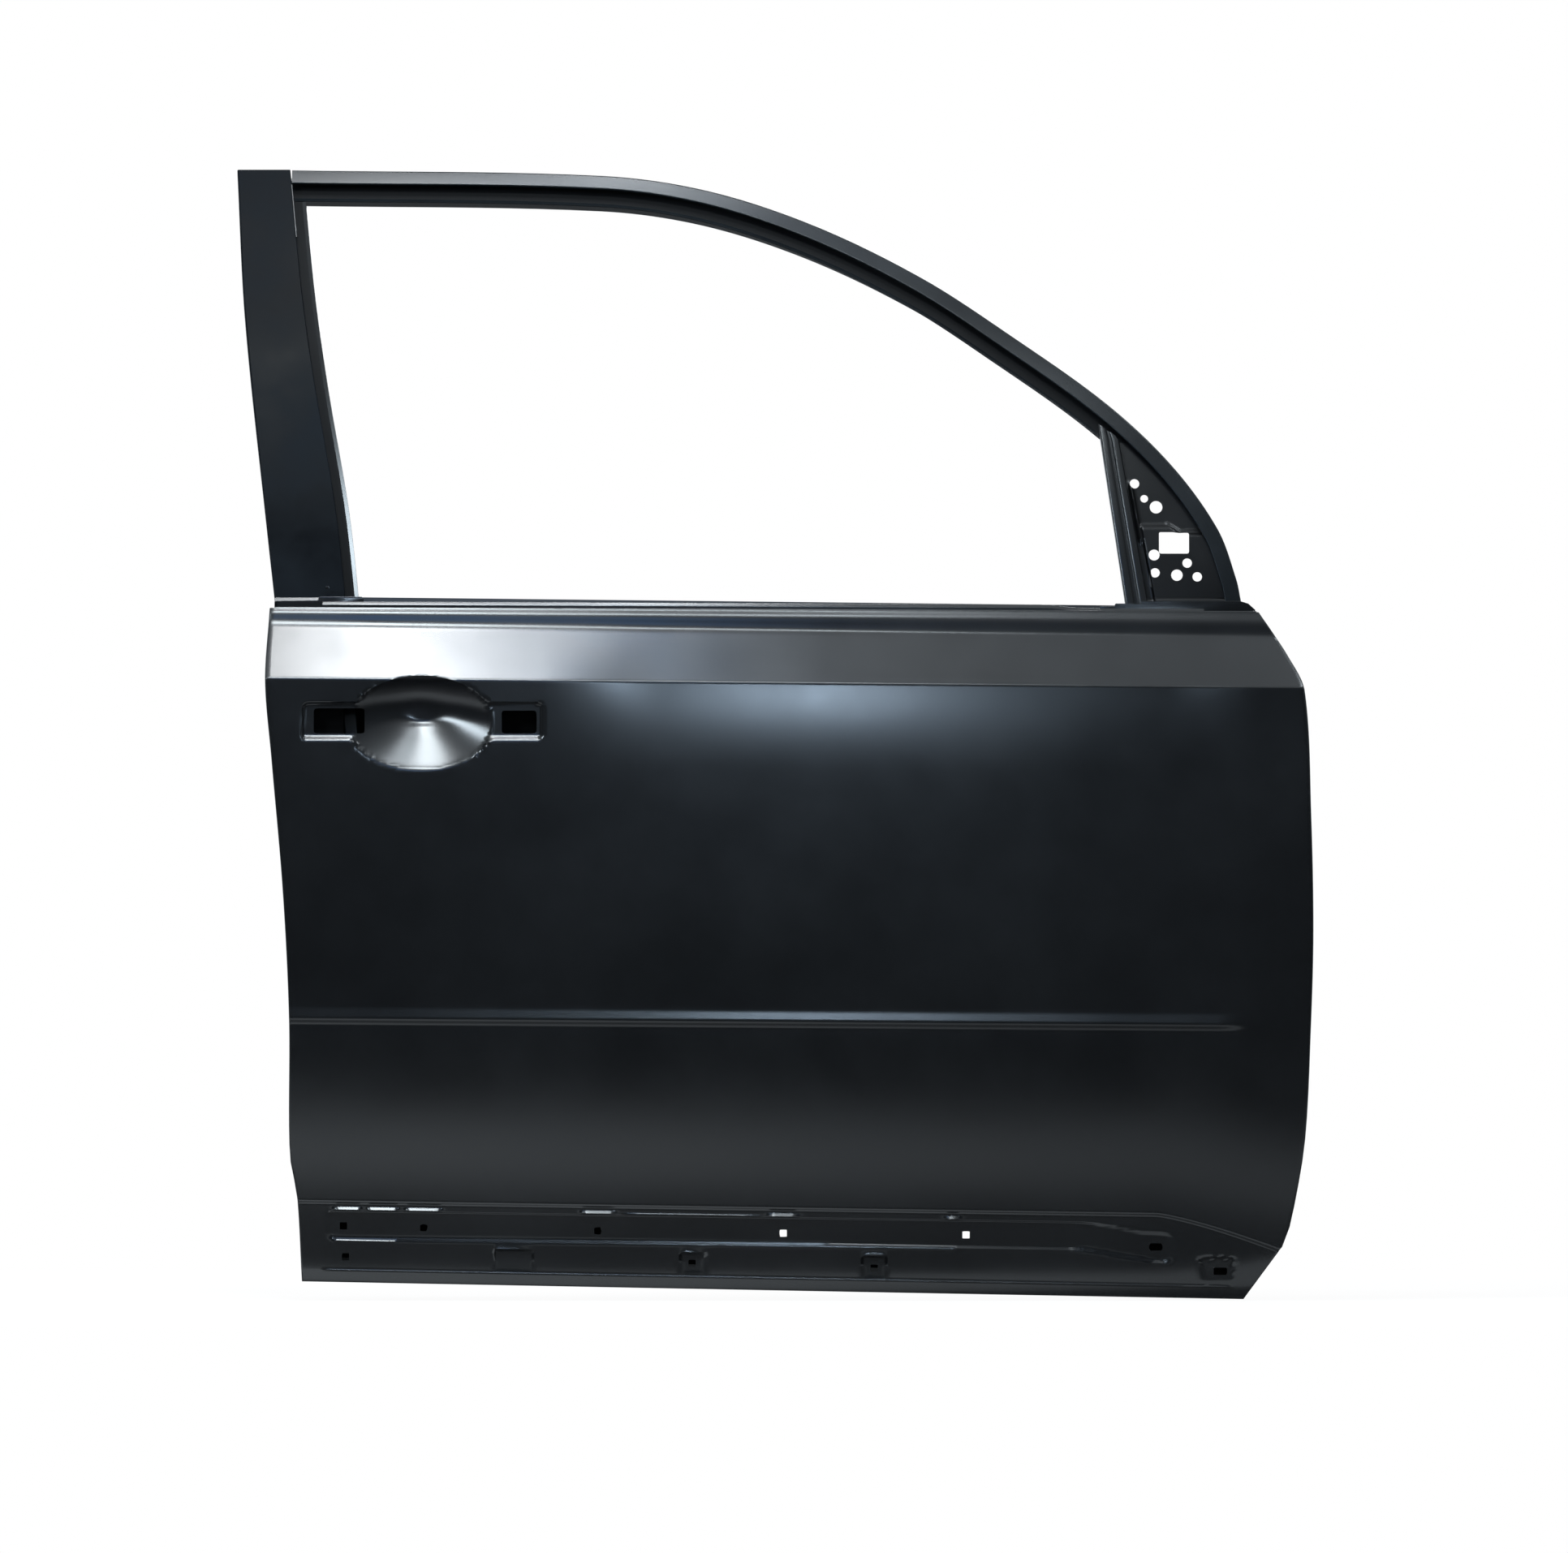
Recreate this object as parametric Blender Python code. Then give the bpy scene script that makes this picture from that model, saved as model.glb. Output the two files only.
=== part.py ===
"""Front door shell of a compact sport-utility car, right-hand side, in black primer.

X runs to the front of the vehicle, Y into the cabin and Z up. The origin is the centre
of the upper hinge seat on the hinge face. All sizes are in metres.
"""

import math

import bmesh
import bpy
from mathutils import Vector

# Sheet thicknesses and fits
SKIN_SHEET = 0.0008
INNER_SHEET = 0.0009
FRAME_SHEET = 0.0012
PLATE_SHEET = 0.0018
SHEET_GAP = 0.0003

# Door body: outline in side view
DOOR_BODY_LENGTH = 1.040
REAR_EDGE_X = -DOOR_BODY_LENGTH
BOTTOM_Z = -0.526
BOTTOM_FALL = 0.0197
SKIN_TOP_Z = 0.179
SKIN_TOP_FALL = 0.0045
REAR_EDGE_OFFSETS = ((-0.526, 0.0162), (-0.437, 0.0115), (-0.392, 0.0040), (-0.251, 0.0034),
                     (-0.119, -0.0030), (0.021, -0.0150), (0.103, -0.0217), (0.181, -0.0174))
FRONT_EDGE = ((-0.485, 0.0050), (-0.454, 0.0128), (-0.377, 0.0255), (-0.258, 0.0315),
              (-0.160, 0.0340), (-0.040, 0.0318), (0.094, 0.0247), (0.131, 0.0068),
              (0.158, -0.0110), (0.180, -0.0260))
CHAMFER_TOP = (0.0050, -0.485)
CHAMFER_FOOT = (-0.0390, -0.5457)

# Door body: side profile
SHOULDER_TOP_Z = 0.163
SHOULDER_TOP_FALL = 0.0140
SHOULDER_TOP_Y = 0.0440
SKIN_TOP_Y = 0.0480
CREASE_Z = 0.1054
CREASE_FALL = 0.0098
WAIST_Z = -0.120
CREASE_SET_IN = 0.0040
TURN_UNDER = 0.0480
TURN_UNDER_POWER = 2.6
PLAN_CROWN = 0.0140
PLAN_CROWN_FROM_REAR = 0.42

# Feature line across the middle of the skin
LINE_TOP_Z = -0.2380
LINE_FALL = 0.0077
LINE_FLANK = 0.0125
LINE_PROUD = 0.0022
LINE_RETURN = 0.0045
LINE_DIP = 0.0006
LINE_FOOT = 0.0125
LINE_END_X = -0.030
LINE_FADE = 0.035

# Recess for the lower cladding
CLADDING_Z = -0.4403
CLADDING_FALL = 0.0160
CLADDING_DEPTH = 0.0040
CLADDING_STEP = 0.0030
CLADDING_DROP_X = -0.130
CLADDING_DROP = 0.0360
CLADDING_DROP_POWER = 1.3
BOTTOM_BAND = 0.0128
BOTTOM_BAND_SET_IN = 0.0012

# Hem and belt flange of the skin
HEM_GAP = 0.0005
HEM_RADIUS = SKIN_SHEET + INNER_SHEET / 2 + HEM_GAP
HEM_WIDTH = 0.0102
BELT_FOLD = 0.0050
BELT_FLANGE = 0.0140
BELT_ROUND = 0.0012
BELT_FLANGE_LEAN = 0.0010

# Handle recess and finger cup
HANDLE_REAR_X = REAR_EDGE_X + 0.0166
HANDLE_LENGTH = 0.2524
HANDLE_LOW_Z = 0.0391
HANDLE_HEIGHT = 0.0417
HANDLE_CORNER = 0.0070
HANDLE_DEPTH = 0.0045
HANDLE_LOW_WALL = 0.0076
HANDLE_HIGH_WALL = 0.0030
HANDLE_SPACING = 0.0600
CUP_X = HANDLE_REAR_X + 0.1250
CUP_Z = 0.0582
CUP_HALF_LENGTH = 0.0752
CUP_HALF_HEIGHT = 0.0500
CUP_DEPTH = 0.0260
CUP_POWER = 0.75
CUP_SIDES = 32
CUP_GROW = 0.0011
CUP_OPEN = 0.0300
CUP_BACKING = (0.0030, 0.0040)
CUP_RINGS = (1.0, 0.97, 0.9, 0.75, 0.5, 0.25)
GRIP_SLOT = (HANDLE_REAR_X + 0.0127, HANDLE_REAR_X + 0.0659, 0.0476, 0.0738)
LOCK_SLOT = (HANDLE_REAR_X + 0.2091, HANDLE_REAR_X + 0.2456, 0.0476, 0.0714)
SLOT_CORNER = 0.0030

# Pockets and clip holes in the cladding recess
LONG_POCKET_REAR_X = REAR_EDGE_X + 0.0430
LONG_POCKET_FRONT_X = -0.1130
LONG_POCKET_BELOW_STEP = 0.0095
LONG_POCKET_HEIGHT = 0.0306
LONG_POCKET_DROP_X = -0.215
LONG_POCKET_DROP = 0.0110
LONG_POCKET_DROP_RUN = 0.0900
LONG_POCKET_SPACING = 0.0450
POCKET_DEPTH = 0.0030
POCKET_WALL = 0.0020
POCKET_CORNER = 0.0060
POCKET_END_SHARE = 0.15
POCKET_END_CUT = 0.30
POCKET_GROW = 0.0012
POCKET_BACKING = 0.0002
POCKET_OPEN = 0.0120
LOW_POCKET_CORNER = 0.0030
LOW_POCKETS = ((REAR_EDGE_X + 0.2380, 0.0434, -0.5160, 0.0245),
               (REAR_EDGE_X + 0.4255, 0.0290, -0.5185, 0.0238),
               (REAR_EDGE_X + 0.6150, 0.0290, -0.5230, 0.0245),
               (-0.0660, 0.0360, -0.5290, 0.0290))
CLIP_HOLE = 0.0076
CLIP_HOLES_FROM_REAR = ((0.0600, -0.4675), (0.1440, -0.4692), (0.3260, -0.4726), (0.5198, -0.4752),
                        (0.7110, -0.4769), (0.0620, -0.4998), (0.4245, -0.5066), (0.6150, -0.5117))
SLOT_HOLES = ((-0.1305, -0.4896), (-0.0630, -0.5151))
SLOT_HOLE_WIDTH = 0.0140
CLIP_CUT = (0.0200, 0.0800)
SLOT_CUT = (-0.0200, 0.0600)

# Inner panel
FLANGE_WIDTH = 0.0122
FLANGE_START = 0.0021
STEP_OFF = 0.0200
BOTTOM_STEP_OFF = 0.0260
STEP_OFF_DEPTH = 0.0220
HINGE_FACE_INSET = 0.0250
LATCH_FACE_X = REAR_EDGE_X + 0.0290
LATCH_FACE_LEAN = 0.055
BOTTOM_WALL = 0.0400
LEDGE_RISE = 0.0030
INNER_FACE_Y = 0.1240
INNER_LOW_Y = 0.1120
INNER_BELT_Z = 0.1910
INNER_BELT_FALL = 0.0105
INNER_BELT_FOOT_Z = 0.1150
INNER_FACE_TOP_Z = 0.0620
SERVICE_OPENING = (REAR_EDGE_X + 0.2600, -0.3600, -0.2850, 0.0200)
SERVICE_OPENING_CORNER = 0.0550
REAR_OPENING = (REAR_EDGE_X + 0.1100, REAR_EDGE_X + 0.2050, -0.3300, -0.0600)
REAR_OPENING_CORNER = 0.0300
FRONT_OPENING = (-0.2900, -0.1900, -0.1500, -0.0300)
FRONT_OPENING_CORNER = 0.0250
SPEAKER_X = -0.1950
SPEAKER_Z = -0.3300
SPEAKER_RADIUS = 0.0780
TRIM_CLIP_RADIUS = 0.0045
REAR_TRIM_CLIPS = ((0.080, -0.380), (0.260, -0.385), (0.470, -0.390), (0.080, -0.150),
                   (0.160, 0.045), (0.440, 0.045))
FRONT_TRIM_CLIPS = ((-0.360, -0.390), (-0.070, -0.200), (-0.070, 0.020), (-0.320, 0.045))
TOOL_HOLES = ((0.5198, -0.4752), (0.7110, -0.4769))
TOOL_HOLE_RADIUS = 0.0080
INNER_CUT = (0.0900, 0.1600)

# Seats on the front and rear end faces
HINGE_PITCH = 0.3350
HINGE_SEAT_Y = 0.0740
HINGE_PLATE_HEIGHT = 0.0840
HINGE_PLATE_WIDTH = 0.0520
HINGE_BOLT_PITCH = 0.0460
HINGE_BOLT_RADIUS = 0.0050
TAPPING_PLATE = 0.0060
TAPPING_PLATE_WIDTH = 0.0280
TAPPING_PLATE_OVER = 0.0120
TAPPING_PLATE_CORNER = 0.0030
CHECK_LINK_Z = -0.1900
CHECK_SLOT_HEIGHT = 0.0300
CHECK_SLOT_WIDTH = 0.0220
CHECK_SLOT_CORNER = 0.0040
CHECK_BOLT_OFF_SLOT = 0.0100
CHECK_PLATE_HEIGHT = 0.0680
CHECK_PLATE_WIDTH = 0.0480
SCREW_RADIUS = 0.0035
FRONT_FACE_CUT = (-0.0200, 0.0040)
PLATE_CORNER = 0.0060
HARNESS_Z = -0.2600
HARNESS_RADIUS = 0.0150
LATCH_Z = -0.0300
LATCH_Y = 0.0800
LATCH_SLOT_HEIGHT = 0.0460
LATCH_SLOT_WIDTH = 0.0260
LATCH_PLATE_HEIGHT = 0.1100
LATCH_PLATE_WIDTH = 0.0560
LATCH_PLATE_CORNER = 0.0080
LATCH_SCREWS = (0.0140, 0.0160, 0.0100)
LATCH_CUT = 0.0150

# Impact beam
BEAM_FRONT = (-0.0220, 0.0340, -0.0860)
BEAM_REAR = (REAR_EDGE_X + 0.0700, 0.0340, -0.3300)
BEAM_RADIUS = 0.0155
BEAM_WALL = 0.0020
BEAM_SIDES = 20
BEAM_BRACKET_LENGTH = 0.0950
BEAM_BRACKET_HEIGHT = 0.0760
BEAM_BRACKET_FOOT = 0.0280
MASTIC_PADS = (0.10, 0.43, 0.64, 0.84)
MASTIC_RADIUS = 0.0130

# Belt reinforcements
OUTER_BELT_ENDS = (REAR_EDGE_X + 0.0380, -0.0800)
OUTER_BELT_BELOW_TOP = 0.0025
OUTER_BELT_LEG = 0.0180
OUTER_BELT_KNEE = 0.0360
OUTER_BELT_FOOT = 0.0560
OUTER_BELT_OFF_SKIN = 0.0045
INNER_BELT_ENDS = (REAR_EDGE_X + 0.0950, -0.1950)
INNER_BELT_HAT = 0.0110
INNER_BELT_BELOW_TOP = 0.0030
INNER_BELT_STEPS = (0.0120, 0.0170, 0.0360, 0.0410, 0.0540)
BELT_STATIONS = 12

# Handle brackets
HANDLE_BRACKETS = ((HANDLE_REAR_X + 0.0124, HANDLE_REAR_X + 0.0434),
                   (HANDLE_REAR_X + 0.2054, HANDLE_REAR_X + 0.2494))
HANDLE_BRACKET_DEPTH = 0.0320
HANDLE_BRACKET_OFFS = (0.0020, 0.0050, 0.0140)

# Window frame: the glass lies on a cylinder along the car
FRAME_BELT_Z = 0.180
FRAME_BELT_Y = 0.0620
FRAME_RADIUS = 1.400
FRAME_LEAN = 12.0
FRAME_TOP_Z = 0.6410
HEADER_LINE = ((REAR_EDGE_X + 0.0033, 0.6410), (-0.7110, 0.6350), (-0.5990, 0.6188),
               (-0.4860, 0.5814), (-0.3740, 0.5262), (-0.2839, 0.4675), (-0.1810, 0.3936),
               (-0.1139, 0.3298), (-0.0655, 0.2627), (-0.0460, 0.2100), (-0.0408, 0.1853))
HEADER_STEPS = 3
BAND_WIDTH = 0.0165
BAND_HEM = 0.0028
CHANNEL_DEPTH = 0.0145
CHANNEL_LEG = 0.0275
CHANNEL_LIP = 0.0040
CHANNEL_LIP_RISE = 0.0010
BOX_DEPTH = 0.0400
BOX_FLANGE = 0.0045
BOX_START = 0.0015
BOX_DRAFT = 0.0020
BOX_LOW_DRAFT = 0.0020
HEADER_FOOT_CLEAR = 0.0040

# Rear upright of the frame
POST_REAR_OFFSETS = ((0.1870, -0.0123), (0.2700, -0.0217), (0.4862, -0.0452), (0.6410, -0.0544))
POST_FRONT_OFFSETS = ((-0.2000, 0.1000), (0.1925, 0.0615), (0.2856, 0.0510), (0.4114, 0.0293),
                      (0.5117, 0.0148), (0.6410, 0.0015))
POST_FOOT_Z = 0.1870
POST_BOX_FOOT_Z = 0.2015
POST_STATIONS = 8
POST_RETURN = 0.0135
POST_CHANNEL_MOUTH = 0.0100
POST_CHANNEL_BACK = 0.0150
POST_BOX_SLOPE = 0.0040
GUIDE_FOOT_Z = -0.200
GUIDE_BEND_Z = 0.0000
HEADER_BOX_OFF_POST = 0.0064
HEADER_BOX_FOOT_Z = 0.1945

# Division bar
BAR_TOP_Z = 0.3719
BAR_TOP_MITRE = 0.75
BAR_FOOT_Z = -0.020
BAR_REAR_TOP_X = -0.1888
BAR_REAR_BELT_X = -0.1605
BAR_TOP_WIDTH = 0.0165
BAR_BELT_WIDTH = 0.0215
BAR_OUT = 0.0020
BAR_BACK = 0.0118
BAR_BEAD = 0.0016
BAR_GROOVE = (0.32, 0.44, 0.60, 0.72)

# Mirror corner
SAIL_SHEET = 0.0010
SAIL_DEPTH = 0.0108
SAIL_TOP_Z = 0.3560
SAIL_FOOT_Z = 0.1500
SAIL_STEP_Z = 0.2627
SAIL_STEP_HEIGHT = 0.0080
SAIL_STEP = 0.0035
SAIL_UNDER_BAND = 0.0060
SAIL_FOOT_RUN = 0.60
SAIL_CORNER = 0.0020
SAIL_CUT = (0.0300, 0.1600)
MIRROR_PLATE_CORNER = 0.0080
MIRROR_PLATE = (-0.1370, -0.0800, 0.2000, 0.2570)
SAIL_HOLES = ((-0.1522, 0.3094, 0.0102), (-0.1420, 0.2937, 0.0082), (-0.1296, 0.2848, 0.0133),
              (-0.1318, 0.2346, 0.0117), (-0.0972, 0.2261, 0.0101), (-0.1309, 0.2159, 0.0101),
              (-0.1080, 0.2134, 0.0122), (-0.0867, 0.2117, 0.0101))
SAIL_WINDOW = (-0.1267, -0.0952, 0.2360, 0.2587)

BLACK_PRIMER = (0.012, 0.013, 0.015)
GREY_STEEL = (0.05, 0.052, 0.055)
MASTIC = (0.03, 0.03, 0.03)
CARRIER = "door_shell"


def clear_scene():
    for item in list(bpy.data.objects):
        bpy.data.objects.remove(item)


def set_out():
    """An empty carries every piece, with the skin's foremost plane at its own Y zero."""
    carrier = bpy.data.objects.new(CARRIER, None)
    carrier.location = (0.0, -HINGE_SEAT_Y, 0.0)
    bpy.context.scene.collection.objects.link(carrier)


def material(name, colour, roughness, metallic):
    made = bpy.data.materials.new(name)
    made.use_nodes = True
    shader = made.node_tree.nodes["Principled BSDF"]
    shader.inputs["Base Color"].default_value = (*colour, 1.0)
    shader.inputs["Roughness"].default_value = roughness
    shader.inputs["Metallic"].default_value = metallic
    return made


def object_from(name, mesh_data, colour=BLACK_PRIMER, roughness=0.35, metallic=0.0):
    mesh = bpy.data.meshes.new(name)
    mesh_data.to_mesh(mesh)
    mesh_data.free()
    made = bpy.data.objects.new(name, mesh)
    made.data.materials.append(material(name, colour, roughness, metallic))
    made.parent = bpy.data.objects[CARRIER]
    bpy.context.scene.collection.objects.link(made)
    return made


def guide(name, mesh_data):
    """A hidden cutter or pressing form."""
    mesh = bpy.data.meshes.new(name)
    mesh_data.to_mesh(mesh)
    mesh_data.free()
    made = bpy.data.objects.new(name, mesh)
    made.hide_render = True
    made.display_type = "WIRE"
    made.parent = bpy.data.objects[CARRIER]
    bpy.context.scene.collection.objects.link(made)
    return made


def boolean(target, form, operation, self_crossing=False):
    modifier = target.modifiers.new(form.name, "BOOLEAN")
    modifier.object = form
    modifier.operation = operation
    modifier.solver = "EXACT"
    modifier.use_self = self_crossing


def cubic(points, t):
    """Value at t of a smooth curve through (t, value) points."""
    last = len(points) - 1
    i = 0
    while i < last - 1 and t > points[i + 1][0]:
        i += 1
    t0, v0 = points[i]
    t1, v1 = points[i + 1]
    before = points[max(i - 1, 0)]
    after = points[min(i + 2, last)]
    slope0 = (v1 - before[1]) / (t1 - before[0])
    slope1 = (after[1] - v0) / (after[0] - t0)
    span = t1 - t0
    u = (t - t0) / span
    return (v0 * (1 + 2 * u) * (1 - u) ** 2 + slope0 * span * u * (1 - u) ** 2
            + v1 * u * u * (3 - 2 * u) + slope1 * span * u * u * (u - 1))


def spline(points, steps):
    """Points along a smooth curve through the given plane points."""
    lengths = [0.0]
    for a, b in zip(points, points[1:]):
        lengths.append(lengths[-1] + math.dist(a, b))
    firsts = [(s, p[0]) for s, p in zip(lengths, points)]
    seconds = [(s, p[1]) for s, p in zip(lengths, points)]
    result = []
    for i in range(len(points) - 1):
        for step in range(steps):
            s = lengths[i] + (lengths[i + 1] - lengths[i]) * step / steps
            result.append((cubic(firsts, s), cubic(seconds, s)))
    result.append(tuple(points[-1]))
    return result


def lerp(a, b, t):
    return a + (b - a) * t


def ease(t):
    t = min(max(t, 0.0), 1.0)
    return t * t * (3 - 2 * t)


# Shape of the door body


def rear_edge(z):
    return REAR_EDGE_X + cubic(REAR_EDGE_OFFSETS, min(z, SKIN_TOP_Z))


def front_edge(z):
    if z > CHAMFER_TOP[1]:
        return cubic(FRONT_EDGE, min(z, FRONT_EDGE[-1][0]))
    slope = (CHAMFER_FOOT[0] - CHAMFER_TOP[0]) / (CHAMFER_FOOT[1] - CHAMFER_TOP[1])
    return CHAMFER_TOP[0] + slope * (z - CHAMFER_TOP[1])


def plan(x):
    """The door bows outwards in plan view, most at its crown."""
    crown_x = REAR_EDGE_X + PLAN_CROWN_FROM_REAR
    return PLAN_CROWN * ((x - crown_x) / crown_x) ** 2


def bulge(z):
    """Side profile below the crease, without its pressed lines."""
    if z > WAIST_Z:
        return CREASE_SET_IN * ((z - WAIST_Z) / (CREASE_Z - WAIST_Z)) ** 2
    return TURN_UNDER * ((WAIST_Z - z) / (WAIST_Z - BOTTOM_Z)) ** TURN_UNDER_POWER


def along(x):
    """How far forward x lies on the door body, 0 at the rear and 1 at the front."""
    return (x - REAR_EDGE_X) / DOOR_BODY_LENGTH


def line_strength(x):
    return 1 - ease((x - LINE_END_X + LINE_FADE) / LINE_FADE)


def cladding_drop(x):
    if x <= CLADDING_DROP_X:
        return 0.0
    return CLADDING_DROP * ((x - CLADDING_DROP_X) / -CLADDING_DROP_X) ** CLADDING_DROP_POWER


def plain_row(z, fall):
    return lambda x: (z - fall * along(x), bulge(z) + plan(x))


def line_row(below, proud):
    z = LINE_TOP_Z - below
    return lambda x: (z - LINE_FALL * along(x), bulge(z) - proud * line_strength(x) + plan(x))


def recess_row(share):
    """A row in the cladding recess, from the foot of its step (0) to the bottom band (1)."""
    def place(x):
        top = CLADDING_Z - CLADDING_STEP - CLADDING_FALL * along(x) - cladding_drop(x)
        low = BOTTOM_Z - BOTTOM_FALL * along(x) + BOTTOM_BAND
        z = lerp(top, low, share)
        set_in = bulge(lerp(CLADDING_Z - CLADDING_STEP, BOTTOM_Z + BOTTOM_BAND, share))
        return z, set_in + CLADDING_DEPTH + plan(x)
    return place


def step_row(x):
    z = CLADDING_Z - CLADDING_FALL * along(x) - cladding_drop(x)
    return z, bulge(CLADDING_Z) + plan(x)


def bottom_row(x):
    z = BOTTOM_Z - BOTTOM_FALL * along(x)
    return z, bulge(BOTTOM_Z) + CLADDING_DEPTH + BOTTOM_BAND_SET_IN + plan(x)


def above_step_row(share):
    """A row between the cladding step (0) and the foot of the feature line (1)."""
    def place(x):
        low, low_y = step_row(x)
        top_z = LINE_TOP_Z - LINE_FLANK - LINE_RETURN - LINE_FOOT
        top = top_z - LINE_FALL * along(x)
        return lerp(low, top, share), bulge(lerp(CLADDING_Z, top_z, share)) + plan(x)
    return place


def skin_rows():
    """Rows of the skin from the bottom edge to the belt, each giving z and y at x."""
    rows = [bottom_row, recess_row(1.0), recess_row(0.5), recess_row(0.0), step_row]
    rows += [above_step_row(share / 4) for share in range(1, 4)]
    rows += [line_row(LINE_FLANK + LINE_RETURN + LINE_FOOT, 0.0),
             line_row(LINE_FLANK + LINE_RETURN, -LINE_DIP),
             line_row(LINE_FLANK, LINE_PROUD), line_row(0.0, 0.0)]
    rows += [plain_row(lerp(LINE_TOP_Z, CREASE_Z, share / 6), lerp(LINE_FALL, CREASE_FALL, share / 6))
             for share in range(1, 7)]
    rows += [lambda x: (SHOULDER_TOP_Z - SHOULDER_TOP_FALL * along(x), SHOULDER_TOP_Y + plan(x)),
             lambda x: (SKIN_TOP_Z - SKIN_TOP_FALL * along(x), SKIN_TOP_Y + plan(x))]
    return rows


SKIN_ROWS = skin_rows()
COLUMN_SHARES = [0.84 * i / 15 for i in range(16)] + [0.84 + 0.16 * i / 6 for i in range(1, 7)]


def skin_y(x, z):
    """Outer face of the skin at a place in side view."""
    below = SKIN_ROWS[0](x)
    for row in SKIN_ROWS[1:]:
        here = row(x)
        if here[0] >= z:
            break
        below = here
    return lerp(below[1], here[1], (z - below[0]) / (here[0] - below[0]))


def skin_point(row, share):
    """Where a row crosses a column that lies at a share of the width."""
    x = lerp(REAR_EDGE_X, 0.0, share)
    for _ in range(6):
        z = row(x)[0]
        x = lerp(rear_edge(z), front_edge(z), share)
    z, y = row(x)
    return Vector((x, y, z))


def skin_grid():
    return [[skin_point(row, share) for share in COLUMN_SHARES] for row in SKIN_ROWS]


def corner_normal(grid, k, j):
    """The vector that moves every face round a grid corner out by one unit."""
    around = []
    for dk, dj in ((0, 0), (-1, 0), (0, -1), (-1, -1)):
        a, b = k + dk, j + dj
        if 0 <= a < len(grid) - 1 and 0 <= b < len(grid[0]) - 1:
            across = grid[a + 1][b + 1] - grid[a][b]
            other = grid[a + 1][b] - grid[a][b + 1]
            normal = across.cross(other).normalized()
            around.append(normal if normal.y < 0 else -normal)
    total = sum(around, Vector())
    mean = total.normalized()
    return mean / (sum(mean.dot(n) for n in around) / len(around))


def rim_stations(grid):
    """Edge stations down the rear, along the bottom and up the front.

    Each is (point, inward step, outward normal). The inward step follows the grid line, so
    that what is offset from the edge stays on the skin's own pressed lines.
    """
    top = len(grid) - 2
    last = len(grid[0]) - 1
    stations = []
    for k in range(top, 0, -1):
        stations.append((k, 0, side_step(grid, k, 0, 1)))
    stations.append((0, 0, side_step(grid, 0, 0, 1) + foot_step(grid, 0)))
    for j in range(1, last):
        stations.append((0, j, foot_step(grid, j)))
    stations.append((0, last, side_step(grid, 0, last, last - 1) + foot_step(grid, last)))
    for k in range(1, top + 1):
        stations.append((k, last, side_step(grid, k, last, last - 1)))
    return [(grid[k][j], step, corner_normal(grid, k, j)) for k, j, step in stations]


def side_step(grid, k, j, inner):
    step = (grid[k][inner] - grid[k][j]).normalized()
    upper = grid[min(k + 1, len(grid) - 1)][j]
    lower = grid[max(k - 1, 0)][j]
    edge = (upper - lower).normalized()
    return step / step.cross(edge).length


def foot_step(grid, j):
    step = (grid[1][j] - grid[0][j]).normalized()
    fore = grid[0][min(j + 1, len(grid[0]) - 1)]
    aft = grid[0][max(j - 1, 0)]
    return step / step.cross((fore - aft).normalized()).length


def grid_faces(mesh, rows):
    for low, high in zip(rows, rows[1:]):
        for j in range(len(low) - 1):
            mesh.faces.new((low[j], low[j + 1], high[j + 1], high[j]))


def loft(sections):
    """A solid through closed loops of equal length, with capped ends."""
    mesh = bmesh.new()
    rings = [[mesh.verts.new(p) for p in section] for section in sections]
    for a, b in zip(rings, rings[1:]):
        for i in range(len(a)):
            n = (i + 1) % len(a)
            mesh.faces.new((a[i], a[n], b[n], b[i]))
    mesh.faces.new(rings[0])
    mesh.faces.new(rings[-1])
    bmesh.ops.recalc_face_normals(mesh, faces=mesh.faces)
    return mesh


def sheet_loop(line, thickness):
    """Closed outline of a bent strip: the line, and the line offset to its left."""
    back = []
    last = len(line) - 1
    for i, point in enumerate(line):
        normals = []
        for a, b in ((i - 1, i), (i, i + 1)):
            if 0 <= a and b <= last:
                dx = line[b][0] - line[a][0]
                dy = line[b][1] - line[a][1]
                size = math.hypot(dx, dy)
                normals.append((-dy / size, dx / size))
        nx = sum(n[0] for n in normals) / len(normals)
        ny = sum(n[1] for n in normals) / len(normals)
        scale = thickness / (nx * nx + ny * ny)
        back.append((point[0] + nx * scale, point[1] + ny * scale))
    return list(line) + back[::-1]


def box(low, high):
    mesh = bmesh.new()
    bmesh.ops.create_cube(mesh, size=1.0)
    for vertex in mesh.verts:
        vertex.co = [lerp(a, b, c + 0.5) for a, b, c in zip(low, high, vertex.co)]
    return mesh


def joined(parts):
    """Several closed forms in one mesh."""
    whole = bmesh.new()
    for part in parts:
        copy = bpy.data.meshes.new("form")
        part.to_mesh(copy)
        part.free()
        whole.from_mesh(copy)
        bpy.data.meshes.remove(copy)
    return whole


def prism_y(outline, y_low, y_high):
    """A straight prism along Y over a closed outline of (x, z) points."""
    return loft([[(x, y, z) for x, z in outline] for y in (y_low, y_high)])


def rounded_rectangle(x_low, x_high, z_low, z_high, radius, steps=4):
    outline = []
    corners = ((x_high, z_high, 0), (x_low, z_high, 90), (x_low, z_low, 180), (x_high, z_low, 270))
    for x, z, start in corners:
        cx = x - radius if x == x_high else x + radius
        cz = z - radius if z == z_high else z + radius
        for i in range(steps + 1):
            angle = math.radians(start + 90 * i / steps)
            outline.append((cx + radius * math.cos(angle), cz + radius * math.sin(angle)))
    return outline


def circle(x, z, radius, sides=20):
    return [(x + radius * math.cos(2 * math.pi * i / sides),
             z + radius * math.sin(2 * math.pi * i / sides)) for i in range(sides)]


# Pressed pockets of the skin: a form that adds the pocket's walls, and one that hollows it


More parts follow.
